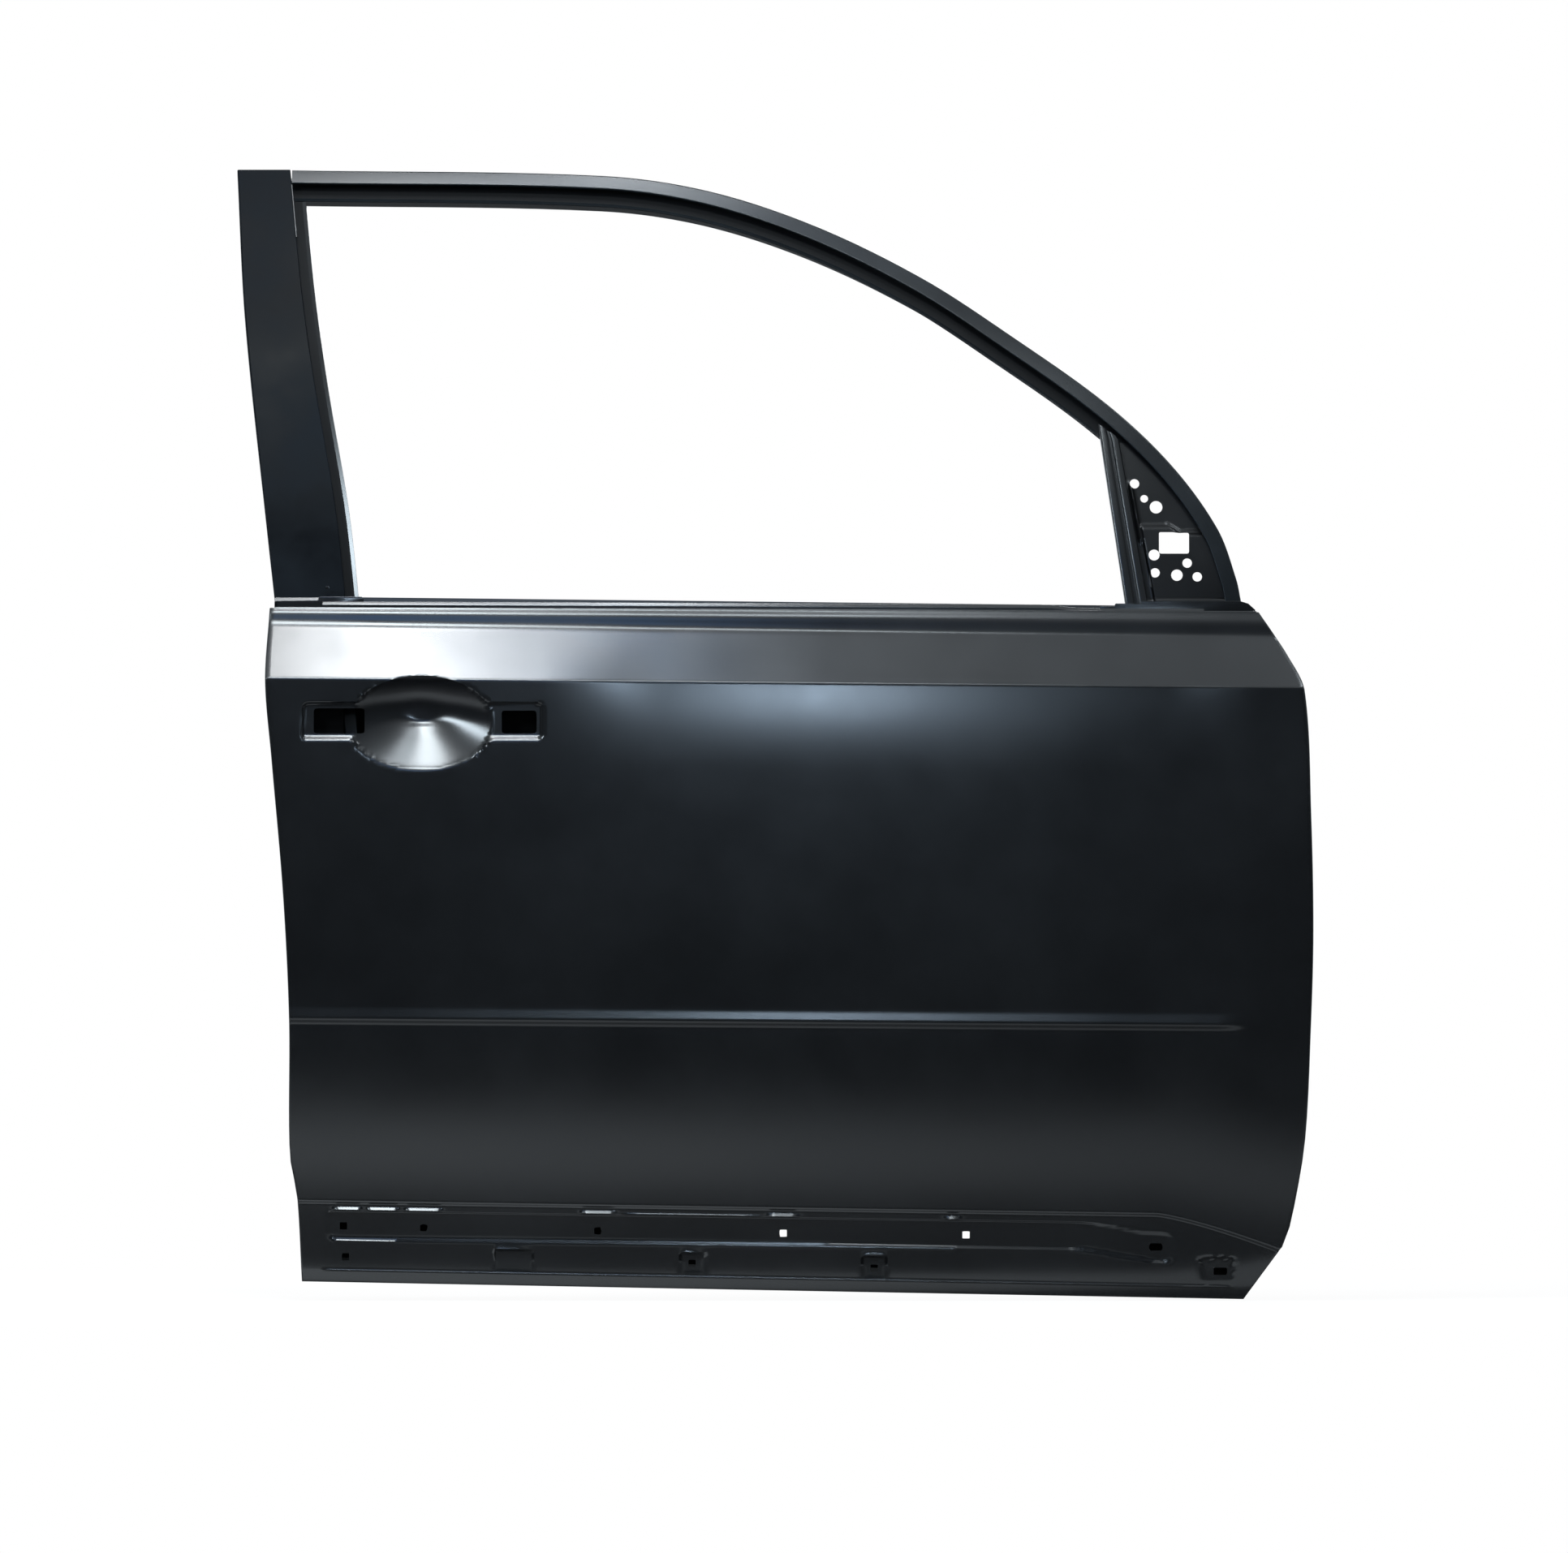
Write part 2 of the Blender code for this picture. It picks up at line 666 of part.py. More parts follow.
def pocket_stations(x_low, x_high, corner, spacing):
    """(x, height cut off each corner, share of the depth) along a pocket."""
    count = max(1, round((x_high - x_low - 2 * corner) / spacing))
    ends = ((0.0, 1.0, POCKET_END_SHARE), (POCKET_END_CUT, POCKET_END_CUT, 1.0))
    stations = [(x_low + corner * a, corner * cut, deep) for a, cut, deep in ends]
    for i in range(count + 1):
        stations.append((lerp(x_low + corner, x_high - corner, i / count), 0.0, 1.0))
    stations += [(x_high - corner * a, corner * cut, deep) for a, cut, deep in reversed(ends)]
    return stations


def pocket_form(stations, low_z, high_z, depth, walls, hollow):
    """walls holds the run of the low wall and of the high wall in side view."""
    grow = 0.0 if hollow else POCKET_GROW
    start = 0.0 if hollow else SKIN_SHEET / 2
    extra = 0.0 if hollow else SKIN_SHEET
    sections = []
    for x, cut, deep in stations:
        low = low_z(x) + cut - grow
        high = high_z(x) - cut + grow
        floor_low = low + walls[0] * deep
        floor_high = high - walls[1] * deep
        floor = depth * deep + extra
        if deep < 1.0:
            x += math.copysign(grow, x - (stations[0][0] + stations[-1][0]) / 2)
        loop = [(x, skin_y(x, low) + start, low), (x, skin_y(x, floor_low) + floor, floor_low),
                (x, skin_y(x, floor_high) + floor, floor_high), (x, skin_y(x, high) + start, high)]
        if hollow:
            loop = ([(x, skin_y(x, low) - POCKET_OPEN, low)] + loop
                    + [(x, skin_y(x, high) - POCKET_OPEN, high)])
        else:
            middle = (low + high) / 2
            loop.append((x, skin_y(x, middle) + start + POCKET_BACKING, middle))
        sections.append(loop)
    return loft(sections)


def cup_form(hollow):
    """The oval finger cup as rings from its rim to its middle."""
    grow = 0.0 if hollow else CUP_GROW
    extra = 0.0 if hollow else SKIN_SHEET
    mesh = bmesh.new()
    middle_y = skin_y(CUP_X, CUP_Z)

    def ring(share, depth_of):
        verts = []
        for i in range(CUP_SIDES):
            angle = 2 * math.pi * i / CUP_SIDES
            rim_x = CUP_X + (CUP_HALF_LENGTH + grow) * math.cos(angle)
            rim_z = CUP_Z + (CUP_HALF_HEIGHT + grow) * math.sin(angle)
            y = lerp(middle_y, skin_y(rim_x, rim_z), share * share) + depth_of(share)
            x = lerp(CUP_X, rim_x, share)
            z = lerp(CUP_Z, rim_z, share)
            verts.append(mesh.verts.new((x, y, z)))
        return verts

    def bowl(share):
        if share == 1.0:
            return 0.0 if hollow else SKIN_SHEET / 2
        return CUP_DEPTH * (1 - share * share) ** CUP_POWER + extra

    rings = [ring(share, bowl) for share in CUP_RINGS]
    if hollow:
        rings.insert(0, ring(CUP_RINGS[0], lambda share: -CUP_OPEN))
        front = mesh.verts.new((CUP_X, middle_y - CUP_OPEN, CUP_Z))
    else:
        rings.insert(0, ring(CUP_RINGS[2], lambda share: CUP_BACKING[0]))
        front = mesh.verts.new((CUP_X, middle_y + CUP_BACKING[1], CUP_Z))
    back = mesh.verts.new((CUP_X, middle_y + CUP_DEPTH + extra, CUP_Z))
    for a, b in zip(rings, rings[1:]):
        for i in range(CUP_SIDES):
            n = (i + 1) % CUP_SIDES
            mesh.faces.new((a[i], a[n], b[n], b[i]))
    for i in range(CUP_SIDES):
        n = (i + 1) % CUP_SIDES
        mesh.faces.new((rings[0][i], rings[0][n], front))
        mesh.faces.new((rings[-1][i], rings[-1][n], back))
    bmesh.ops.recalc_face_normals(mesh, faces=mesh.faces)
    return mesh


def long_pocket_high(x):
    top = CLADDING_Z - CLADDING_FALL * along(x) - LONG_POCKET_BELOW_STEP
    return top - LONG_POCKET_DROP * ease((x - LONG_POCKET_DROP_X) / LONG_POCKET_DROP_RUN)


def long_pocket_low(x):
    return long_pocket_high(x) - LONG_POCKET_HEIGHT


def pocket_forms(hollow):
    handle = pocket_stations(HANDLE_REAR_X, HANDLE_REAR_X + HANDLE_LENGTH, HANDLE_CORNER, HANDLE_SPACING)
    forms = [pocket_form(handle, lambda x: HANDLE_LOW_Z, lambda x: HANDLE_LOW_Z + HANDLE_HEIGHT,
                         HANDLE_DEPTH, (HANDLE_LOW_WALL, HANDLE_HIGH_WALL), hollow)]
    long = pocket_stations(LONG_POCKET_REAR_X, LONG_POCKET_FRONT_X, POCKET_CORNER, LONG_POCKET_SPACING)
    walls = (POCKET_WALL, POCKET_WALL)
    forms.append(pocket_form(long, long_pocket_low, long_pocket_high, POCKET_DEPTH, walls, hollow))
    for middle, length, low, height in LOW_POCKETS:
        stations = pocket_stations(middle - length / 2, middle + length / 2, LOW_POCKET_CORNER, length)
        forms.append(pocket_form(stations, lambda x, low=low: low,
                                 lambda x, low=low, height=height: low + height,
                                 POCKET_DEPTH, walls, hollow))
    return forms


def build_outer_panel():
    grid = skin_grid()
    stations = rim_stations(grid)
    mesh = bmesh.new()
    rows = [[mesh.verts.new(p) for p in row] for row in grid]
    grid_faces(mesh, rows)
    top = len(grid) - 2
    last = len(grid[0]) - 1
    rim = [rows[k][0] for k in range(top, 0, -1)] + rows[0]
    rim += [rows[k][last] for k in range(1, top + 1)]
    for vertex, (point, step, normal) in zip(rim, stations):
        vertex.co = point + step * HEM_RADIUS
    fold = [(1 - math.sin(turn), 1 - math.cos(turn)) for turn in (math.pi * i / 4 for i in range(1, 5))]
    fold.append((HEM_WIDTH / HEM_RADIUS, 2.0))
    ring = rim
    for inward, depth in fold:
        new = [mesh.verts.new(point + step * HEM_RADIUS * inward - normal * HEM_RADIUS * depth)
               for point, step, normal in stations]
        for i in range(len(ring) - 1):
            mesh.faces.new((ring[i + 1], ring[i], new[i], new[i + 1]))
        ring = new
    edge = rows[-1]
    flange = ((BELT_ROUND, BELT_ROUND), (BELT_ROUND, BELT_FOLD - BELT_ROUND), (0.0, BELT_FOLD),
              (-BELT_FLANGE, BELT_FOLD + BELT_FLANGE_LEAN))
    for up, depth in flange:
        new = [mesh.verts.new(p + Vector((0, depth, up))) for p in grid[-1][1:-1]]
        if edge is rows[-1]:
            edge = rows[-1][1:-1]
        for i in range(len(new) - 1):
            mesh.faces.new((edge[i], edge[i + 1], new[i + 1], new[i]))
        edge = new
    panel = object_from("outer_panel", mesh)
    solid = panel.modifiers.new("sheet", "SOLIDIFY")
    solid.thickness = SKIN_SHEET
    solid.offset = -1.0
    solid.use_even_offset = True
    solid.use_quality_normals = True
    boolean(panel, guide("pocket_walls", joined(pocket_forms(False) + [cup_form(False)])), "UNION", True)
    boolean(panel, guide("pocket_hollows", joined(pocket_forms(True))), "DIFFERENCE")
    boolean(panel, guide("cup_hollow", cup_form(True)), "DIFFERENCE")
    boolean(panel, guide("skin_holes", joined(skin_holes())), "DIFFERENCE")
    return panel


def skin_holes():
    holes = []
    for x_low, x_high, z_low, z_high in (GRIP_SLOT, LOCK_SLOT):
        holes.append(prism_y(rounded_rectangle(x_low, x_high, z_low, z_high, SLOT_CORNER), *SLOT_CUT))
    near, far = CLIP_CUT
    half = CLIP_HOLE / 2
    for from_rear, z in CLIP_HOLES_FROM_REAR:
        x = REAR_EDGE_X + from_rear
        holes.append(box((x - half, near, z - half), (x + half, far, z + half)))
    wide = SLOT_HOLE_WIDTH / 2
    for x, z in SLOT_HOLES:
        holes.append(box((x - wide, near, z - half), (x + wide, far, z + half)))
    return holes


# Window frame surface


def frame_arc():
    """Axis of the glass cylinder in side profile."""
    lean = math.radians(FRAME_LEAN)
    return (FRAME_BELT_Y + FRAME_RADIUS * math.cos(lean),
            FRAME_BELT_Z - FRAME_RADIUS * math.sin(lean))


def arc_length(z):
    """Distance round the glass cylinder of its outer face at height z."""
    return FRAME_RADIUS * math.asin((z - frame_arc()[1]) / FRAME_RADIUS)


def frame_point(x, s, depth):
    """A place on the frame: x, distance round the cylinder and depth into the cabin."""
    centre_y, centre_z = frame_arc()
    angle = s / FRAME_RADIUS
    radius = FRAME_RADIUS - depth
    return Vector((x, centre_y - radius * math.cos(angle) + plan(x), centre_z + radius * math.sin(angle)))


def frame_y(x, z, depth):
    centre_y, centre_z = frame_arc()
    return centre_y - math.sqrt((FRAME_RADIUS - depth) ** 2 - (z - centre_z) ** 2) + plan(x)


# Inner panel


def hinge_plane_x(z):
    """Cavity side of the hinge face, which turns back where the front edge does."""
    inset = max(HINGE_FACE_INSET, run_in(front_edge, z) + LEDGE_RISE)
    return min(-INNER_SHEET, front_edge(z) - inset)


def latch_plane_x(z):
    """Cavity side of the latch face."""
    return LATCH_FACE_X - LATCH_FACE_LEAN * z


def inner_top_z(x):
    return INNER_BELT_Z - INNER_BELT_FALL * along(x)


def inner_y(x, z):
    """Cavity side of the inner panel's main face."""
    belt = frame_y(x, z, BOX_DEPTH + SHEET_GAP)
    low = lerp(INNER_LOW_Y, INNER_FACE_Y, (z - BOTTOM_Z) / (INNER_FACE_TOP_Z - BOTTOM_Z))
    share = ease((z - INNER_FACE_TOP_Z) / (INNER_BELT_FOOT_Z - INNER_FACE_TOP_Z))
    return lerp(min(low, INNER_FACE_Y) + plan(x), belt, share)


def run_in(edge, z):
    """Distance along X that sets the step-off in square to a sloping edge."""
    slope = (edge(z + 0.002) - edge(z - 0.002)) / 0.004
    return STEP_OFF * math.hypot(1.0, slope)


def build_inner_panel():
    grid = skin_grid()
    stations = rim_stations(grid)
    top = len(grid) - 2
    last = len(grid[0]) - 1
    sheet_in = SKIN_SHEET + HEM_GAP
    mesh = bmesh.new()
    flange = [[p + step * inset - normal * sheet_in for p, step, normal in stations]
              for inset in (FLANGE_START, FLANGE_WIDTH)]
    rings = [[mesh.verts.new(p) for p in ring] for ring in flange]

    def bottom_z(x, inset):
        return BOTTOM_Z - BOTTOM_FALL * along(x) + inset

    def side_ring(inset, rear_x, front_x):
        """Places (x, z) round the three sides at one inset from the door's edge."""
        rear_low = bottom_z(REAR_EDGE_X, inset)
        front_low = bottom_z(0.0, inset)
        shares = [(grid[k][0].z - grid[0][0].z) / (grid[top][0].z - grid[0][0].z)
                  for k in range(top + 1)]
        places = []
        for k in range(top, -1, -1):
            z = lerp(rear_low, inner_top_z(REAR_EDGE_X), shares[k])
            places.append((rear_x(z), z))
        start = places[-1][0]
        for j in range(1, last):
            x = lerp(start, front_x(front_low), COLUMN_SHARES[j])
            places.append((x, bottom_z(x, inset)))
        for k in range(top + 1):
            z = lerp(front_low, inner_top_z(0.0), shares[k])
            places.append((front_x(z), z))
        return places

    step_off = side_ring(BOTTOM_STEP_OFF, lambda z: rear_edge(z) + run_in(rear_edge, z),
                         lambda z: front_edge(z) - run_in(front_edge, z))
    wall = side_ring(BOTTOM_WALL, latch_plane_x, hinge_plane_x)
    rings.append([mesh.verts.new((x, skin_y(x, min(z, SKIN_TOP_Z - SKIN_TOP_FALL)) + STEP_OFF_DEPTH, z))
                  for x, z in step_off])
    ledge = [(x, skin_y(near[0], min(near[1], SKIN_TOP_Z - SKIN_TOP_FALL)) + STEP_OFF_DEPTH + LEDGE_RISE, z)
             for (x, z), near in zip(wall, step_off)]
    rings.append([mesh.verts.new(p) for p in ledge])
    for outer, inner in zip(rings, rings[1:]):
        for i in range(len(outer) - 1):
            mesh.faces.new((outer[i], outer[i + 1], inner[i + 1], inner[i]))
    face = []
    for k in range(top + 1):
        rear = wall[top - k]
        front = wall[top + last + k]
        row = []
        for j, share in enumerate(COLUMN_SHARES):
            x = lerp(rear[0], front[0], share)
            z = lerp(rear[1], front[1], share)
            row.append(mesh.verts.new((x, inner_y(x, z), z)))
        face.append(row)
    grid_faces(mesh, face)
    foot = [face[k][0] for k in range(top, 0, -1)] + face[0] + [face[k][last] for k in range(1, top + 1)]
    for i in range(len(foot) - 1):
        mesh.faces.new((rings[-1][i], rings[-1][i + 1], foot[i + 1], foot[i]))
    panel = object_from("inner_panel", mesh)
    solid = panel.modifiers.new("sheet", "SOLIDIFY")
    solid.thickness = INNER_SHEET
    solid.offset = -1.0
    solid.use_even_offset = True
    solid.use_quality_normals = True
    boolean(panel, guide("inner_openings", joined(inner_openings())), "DIFFERENCE")
    return panel


def inner_openings():
    holes = []
    for opening, corner in ((SERVICE_OPENING, SERVICE_OPENING_CORNER), (REAR_OPENING, REAR_OPENING_CORNER),
                            (FRONT_OPENING, FRONT_OPENING_CORNER)):
        holes.append(prism_y(rounded_rectangle(*opening, corner, 5), *INNER_CUT))
    holes.append(prism_y(circle(SPEAKER_X, SPEAKER_Z, SPEAKER_RADIUS, 32), *INNER_CUT))
    clips = [(REAR_EDGE_X + from_rear, z) for from_rear, z in REAR_TRIM_CLIPS] + list(FRONT_TRIM_CLIPS)
    for x, z in clips:
        holes.append(prism_y(circle(x, z, TRIM_CLIP_RADIUS, 10), *INNER_CUT))
    for from_rear, z in TOOL_HOLES:
        holes.append(prism_y(circle(REAR_EDGE_X + from_rear, z, TOOL_HOLE_RADIUS, 16), *INNER_CUT))
    holes += end_face_holes()
    return holes


def prism_x(outline, x_low, x_high):
    """A straight prism along X over a closed outline of (y, z) points."""
    return loft([[(x, y, z) for y, z in outline] for x in (x_low, x_high)])


def hinge_bolt_holes(z):
    heights = [z + side * HINGE_BOLT_PITCH / 2 for side in (-1, 1)]
    return [prism_x(circle(HINGE_SEAT_Y, height, HINGE_BOLT_RADIUS, 12), *FRONT_FACE_CUT) for height in heights]


def end_face_holes():
    """Bolt holes, check strap slot and cable hole of the front face, latch slot of the rear face."""
    holes = hinge_bolt_holes(0.0) + hinge_bolt_holes(-HINGE_PITCH)
    holes += check_link_holes()
    holes.append(prism_x(circle(HINGE_SEAT_Y, HARNESS_Z, HARNESS_RADIUS, 20), *FRONT_FACE_CUT))
    holes += latch_holes()
    return holes


def check_link_holes():
    half = CHECK_SLOT_HEIGHT / 2
    wide = CHECK_SLOT_WIDTH / 2
    slot = rounded_rectangle(HINGE_SEAT_Y - wide, HINGE_SEAT_Y + wide, CHECK_LINK_Z - half,
                             CHECK_LINK_Z + half, CHECK_SLOT_CORNER, 2)
    heights = [CHECK_LINK_Z + side * (half + CHECK_BOLT_OFF_SLOT) for side in (-1, 1)]
    bolts = [prism_x(circle(HINGE_SEAT_Y, z, SCREW_RADIUS, 10), *FRONT_FACE_CUT) for z in heights]
    return [prism_x(slot, *FRONT_FACE_CUT)] + bolts


def latch_holes():
    x = latch_plane_x(LATCH_Z)
    half = LATCH_SLOT_HEIGHT / 2
    wide = LATCH_SLOT_WIDTH / 2
    slot = rounded_rectangle(LATCH_Y - wide, LATCH_Y + wide, LATCH_Z - half, LATCH_Z + half,
                             PLATE_CORNER, 3)
    above, aside, below = LATCH_SCREWS
    places = ((0.0, half + above), (aside, -half - below), (-aside, -half - below))
    cut = (x - LATCH_CUT, x + LATCH_CUT)
    screws = [prism_x(circle(LATCH_Y + dy, LATCH_Z + dz, SCREW_RADIUS, 10), *cut) for dy, dz in places]
    return [prism_x(slot, *cut)] + screws


# Plates behind the end faces


def hinge_plate_front(z):
    """Front side of a hinge plate: clear of the hinge face at both of the plate's ends."""
    half = HINGE_PLATE_HEIGHT / 2
    return min(hinge_plane_x(z - half), hinge_plane_x(z), hinge_plane_x(z + half)) - SHEET_GAP


def build_hinge_reinforcement(name, z):
    back = hinge_plate_front(z)
    half = HINGE_PLATE_HEIGHT / 2
    wide = HINGE_PLATE_WIDTH / 2
    outline = rounded_rectangle(HINGE_SEAT_Y - wide, HINGE_SEAT_Y + wide, z - half, z + half, PLATE_CORNER, 3)
    plate = object_from(name, prism_x(outline, back - PLATE_SHEET, back))
    boolean(plate, guide(name + "_holes", joined(hinge_bolt_holes(z))), "DIFFERENCE")


def build_tapping_plate(name, z):
    front = hinge_plate_front(z) - PLATE_SHEET - SHEET_GAP
    half = HINGE_BOLT_PITCH / 2 + TAPPING_PLATE_OVER
    wide = TAPPING_PLATE_WIDTH / 2
    outline = rounded_rectangle(HINGE_SEAT_Y - wide, HINGE_SEAT_Y + wide, z - half, z + half,
                                TAPPING_PLATE_CORNER, 2)
    plate = object_from(name, prism_x(outline, front - TAPPING_PLATE, front), GREY_STEEL, 0.4, 0.8)
    boolean(plate, guide(name + "_holes", joined(hinge_bolt_holes(z))), "DIFFERENCE")


def build_check_link_reinforcement():
    back = -INNER_SHEET - SHEET_GAP
    half = CHECK_PLATE_HEIGHT / 2
    wide = CHECK_PLATE_WIDTH / 2
    outline = rounded_rectangle(HINGE_SEAT_Y - wide, HINGE_SEAT_Y + wide, CHECK_LINK_Z - half,
                                CHECK_LINK_Z + half, PLATE_CORNER, 3)
    plate = object_from("check_link_reinforcement", prism_x(outline, back - PLATE_SHEET, back))
    boolean(plate, guide("check_link_holes", joined(check_link_holes())), "DIFFERENCE")


def build_latch_reinforcement():
    half = LATCH_PLATE_HEIGHT / 2
    wide = LATCH_PLATE_WIDTH / 2
    outline = rounded_rectangle(LATCH_Y - wide, LATCH_Y + wide, LATCH_Z - half, LATCH_Z + half,
                                LATCH_PLATE_CORNER, 3)
    sections = [[(latch_plane_x(z) + SHEET_GAP + depth, y, z) for y, z in outline]
                for depth in (0.0, PLATE_SHEET)]
    plate = object_from("latch_reinforcement", loft(sections))
    boolean(plate, guide("latch_holes", joined(latch_holes())), "DIFFERENCE")


# Impact beam


def build_impact_beam():
    front = Vector(BEAM_FRONT)
    rear = Vector(BEAM_REAR)
    axis = (front - rear).normalized()
    side = axis.cross(Vector((0, 1, 0))).normalized()
    up = side.cross(axis)
    mesh = bmesh.new()
    rings = []
    for centre, radius in ((rear, BEAM_RADIUS), (front, BEAM_RADIUS),
                           (front, BEAM_RADIUS - BEAM_WALL), (rear, BEAM_RADIUS - BEAM_WALL)):
        ring = []
        for i in range(BEAM_SIDES):
            angle = 2 * math.pi * i / BEAM_SIDES
            ring.append(mesh.verts.new(centre + (side * math.cos(angle) + up * math.sin(angle)) * radius))
        rings.append(ring)
    for a, b in zip(rings, rings[1:] + rings[:1]):
        for i in range(BEAM_SIDES):
            n = (i + 1) % BEAM_SIDES
            mesh.faces.new((a[i], a[n], b[n], b[i]))
    bmesh.ops.recalc_face_normals(mesh, faces=mesh.faces)
    beam = object_from("impact_beam", mesh)
    beam.data.shade_smooth()
    beam.data.set_sharp_from_angle(angle=math.radians(40))


def build_beam_bracket(name, end, wall_x, inward):
    """A bent plate: its foot on the end wall, its long leg on the inboard side of the beam."""
    x, y, z = end
    seat = y + BEAM_RADIUS + SHEET_GAP
    half = BEAM_BRACKET_HEIGHT / 2
    sections = []
    for dz in (-half, half):
        wall = wall_x(z + dz)
        line = [(wall + inward * SHEET_GAP, seat + BEAM_BRACKET_FOOT), (wall + inward * SHEET_GAP, seat),
                (wall + inward * BEAM_BRACKET_LENGTH, seat)]
        loop = sheet_loop(line, PLATE_SHEET * inward)
        sections.append([(px, py, z + dz) for px, py in loop])
    object_from(name, loft(sections))


def build_mastic_pads():
    front = Vector(BEAM_FRONT)
    rear = Vector(BEAM_REAR)
    for number, share in enumerate(MASTIC_PADS, 1):
        centre = rear.lerp(front, share)
        top = centre.y - BEAM_RADIUS - SHEET_GAP
        rings = []
        outline = circle(centre.x, centre.z, MASTIC_RADIUS, 16)
        rings.append([(x, skin_y(x, z) + SKIN_SHEET + SHEET_GAP, z) for x, z in outline])
        rings.append([(x, top, z) for x, z in outline])
        pad = object_from(f"mastic_pad_{number}", loft(rings), MASTIC, 0.9)
        pad.data.shade_smooth()
        pad.data.set_sharp_from_angle(angle=math.radians(40))


# Belt reinforcements


def belt_xs(ends):
    return [lerp(ends[0], ends[1], i / (BELT_STATIONS - 1)) for i in range(BELT_STATIONS)]


def build_outer_belt_reinforcement():
    sections = []
    for x in belt_xs(OUTER_BELT_ENDS):
        top = SKIN_TOP_Z - SKIN_TOP_FALL * along(x)
        flange = SKIN_TOP_Y + plan(x) + BELT_FOLD + BELT_FLANGE_LEAN + SHEET_GAP
        knee = top - OUTER_BELT_KNEE
        foot = top - OUTER_BELT_FOOT
        line = [(flange, top - OUTER_BELT_BELOW_TOP), (flange, top - OUTER_BELT_LEG),
                (skin_y(x, knee) + OUTER_BELT_OFF_SKIN, knee), (skin_y(x, foot) + OUTER_BELT_OFF_SKIN, foot)]
        sections.append([(x, y, z) for y, z in sheet_loop(line, FRAME_SHEET)])
    object_from("belt_reinforcement_outer", loft(sections))


def build_inner_belt_reinforcement():
    sections = []
    for x in belt_xs(INNER_BELT_ENDS):
        top = inner_top_z(x) - INNER_BELT_BELOW_TOP
        line = []
        leg, rise, crown, fall, foot = INNER_BELT_STEPS
        for drop, out in ((0.0, 0.0), (leg, 0.0), (rise, INNER_BELT_HAT), (crown, INNER_BELT_HAT),
                          (fall, 0.0), (foot, 0.0)):
            z = top - drop
            line.append((frame_y(x, z, BOX_DEPTH) - SHEET_GAP - out, z))
        sections.append([(x, y, z) for y, z in sheet_loop(line, -FRAME_SHEET)])
    object_from("belt_reinforcement_inner", loft(sections))


def build_handle_brackets():
    for name, ends in zip(("handle_bracket_rear", "handle_bracket_front"), HANDLE_BRACKETS):
        high = HANDLE_LOW_Z + HANDLE_HEIGHT
        sections = []
        for i in range(3):
            x = lerp(ends[0], ends[1], i / 2)
            back = SKIN_SHEET + SHEET_GAP
            line = []
            for level, way in ((high, 1), (HANDLE_LOW_Z, -1)):
                wall, heel, toe = (level + way * off for off in HANDLE_BRACKET_OFFS)
                foot = [(skin_y(x, toe) + back, toe), (skin_y(x, heel) + back, heel),
                        (HANDLE_BRACKET_DEPTH, wall)]
                line += foot if way > 0 else foot[::-1]
            sections.append([(x, y, z) for y, z in sheet_loop(line, FRAME_SHEET)])
        object_from(name, loft(sections))


# Window frame


def header_path(rear_x, foot_z):
    """Stations of the header along the roof side: (x, distance round the cylinder)."""
    points = spline(HEADER_LINE, HEADER_STEPS)
    path = [(x, z) for x, z in points if z > foot_z + HEADER_FOOT_CLEAR and x >= rear_x]
    if rear_x < HEADER_LINE[0][0]:
        path.insert(0, (rear_x, HEADER_LINE[0][1]))
    below = cubic([(-z, x) for x, z in HEADER_LINE[-5:]], -foot_z)
    path.append((below, foot_z))
    return [(x, arc_length(z)) for x, z in path]


def sweep(path, outline):
    """Sections of an outline (distance inwards, depth) along a frame path, cut level at its foot."""
    sections = []
    for i, (x, s) in enumerate(path):
        ahead = path[min(i + 1, len(path) - 1)]
        behind = path[max(i - 1, 0)]
        dx = ahead[0] - behind[0]
        ds = ahead[1] - behind[1]
        size = math.hypot(dx, ds)
        nx = ds / size
        ns = -dx / size
        if i == len(path) - 1:
            nx, ns = 1 / nx, 0.0
        sections.append([frame_point(x + nx * n, s + ns * n, d) for n, d in outline])
    return sections


def build_header():
    line = [(CHANNEL_LEG + CHANNEL_LIP, CHANNEL_DEPTH - CHANNEL_LIP_RISE), (CHANNEL_LEG, CHANNEL_DEPTH),
            (0.0, CHANNEL_DEPTH), (0.0, 0.0), (BAND_WIDTH, 0.0), (BAND_WIDTH, BAND_HEM)]
    path = header_path(HEADER_LINE[0][0], HEADER_LINE[-1][1])
    object_from("frame_header_outer", loft(sweep(path, sheet_loop(line, FRAME_SHEET))))
    seat = CHANNEL_DEPTH + SHEET_GAP
    back = BOX_DEPTH - FRAME_SHEET
    lower = CHANNEL_LEG - BOX_FLANGE
    line = [(BOX_START, seat), (BOX_FLANGE, seat), (BOX_FLANGE + BOX_DRAFT, back),
            (lower - BOX_LOW_DRAFT - BOX_DRAFT / 2, back), (lower - BOX_DRAFT / 2, seat), (CHANNEL_LEG, seat)]
    box_rear_x = REAR_EDGE_X + POST_REAR_OFFSETS[-1][1] + HEADER_BOX_OFF_POST
    path = header_path(box_rear_x, HEADER_BOX_FOOT_Z)
    object_from("frame_header_inner", loft(sweep(path, sheet_loop(line, FRAME_SHEET))))


def under_header():
    """Distance round the cylinder at which the upright's channel meets the header's lip."""
    return arc_length(FRAME_TOP_Z) - CHANNEL_LEG - CHANNEL_LIP - 2 * SHEET_GAP


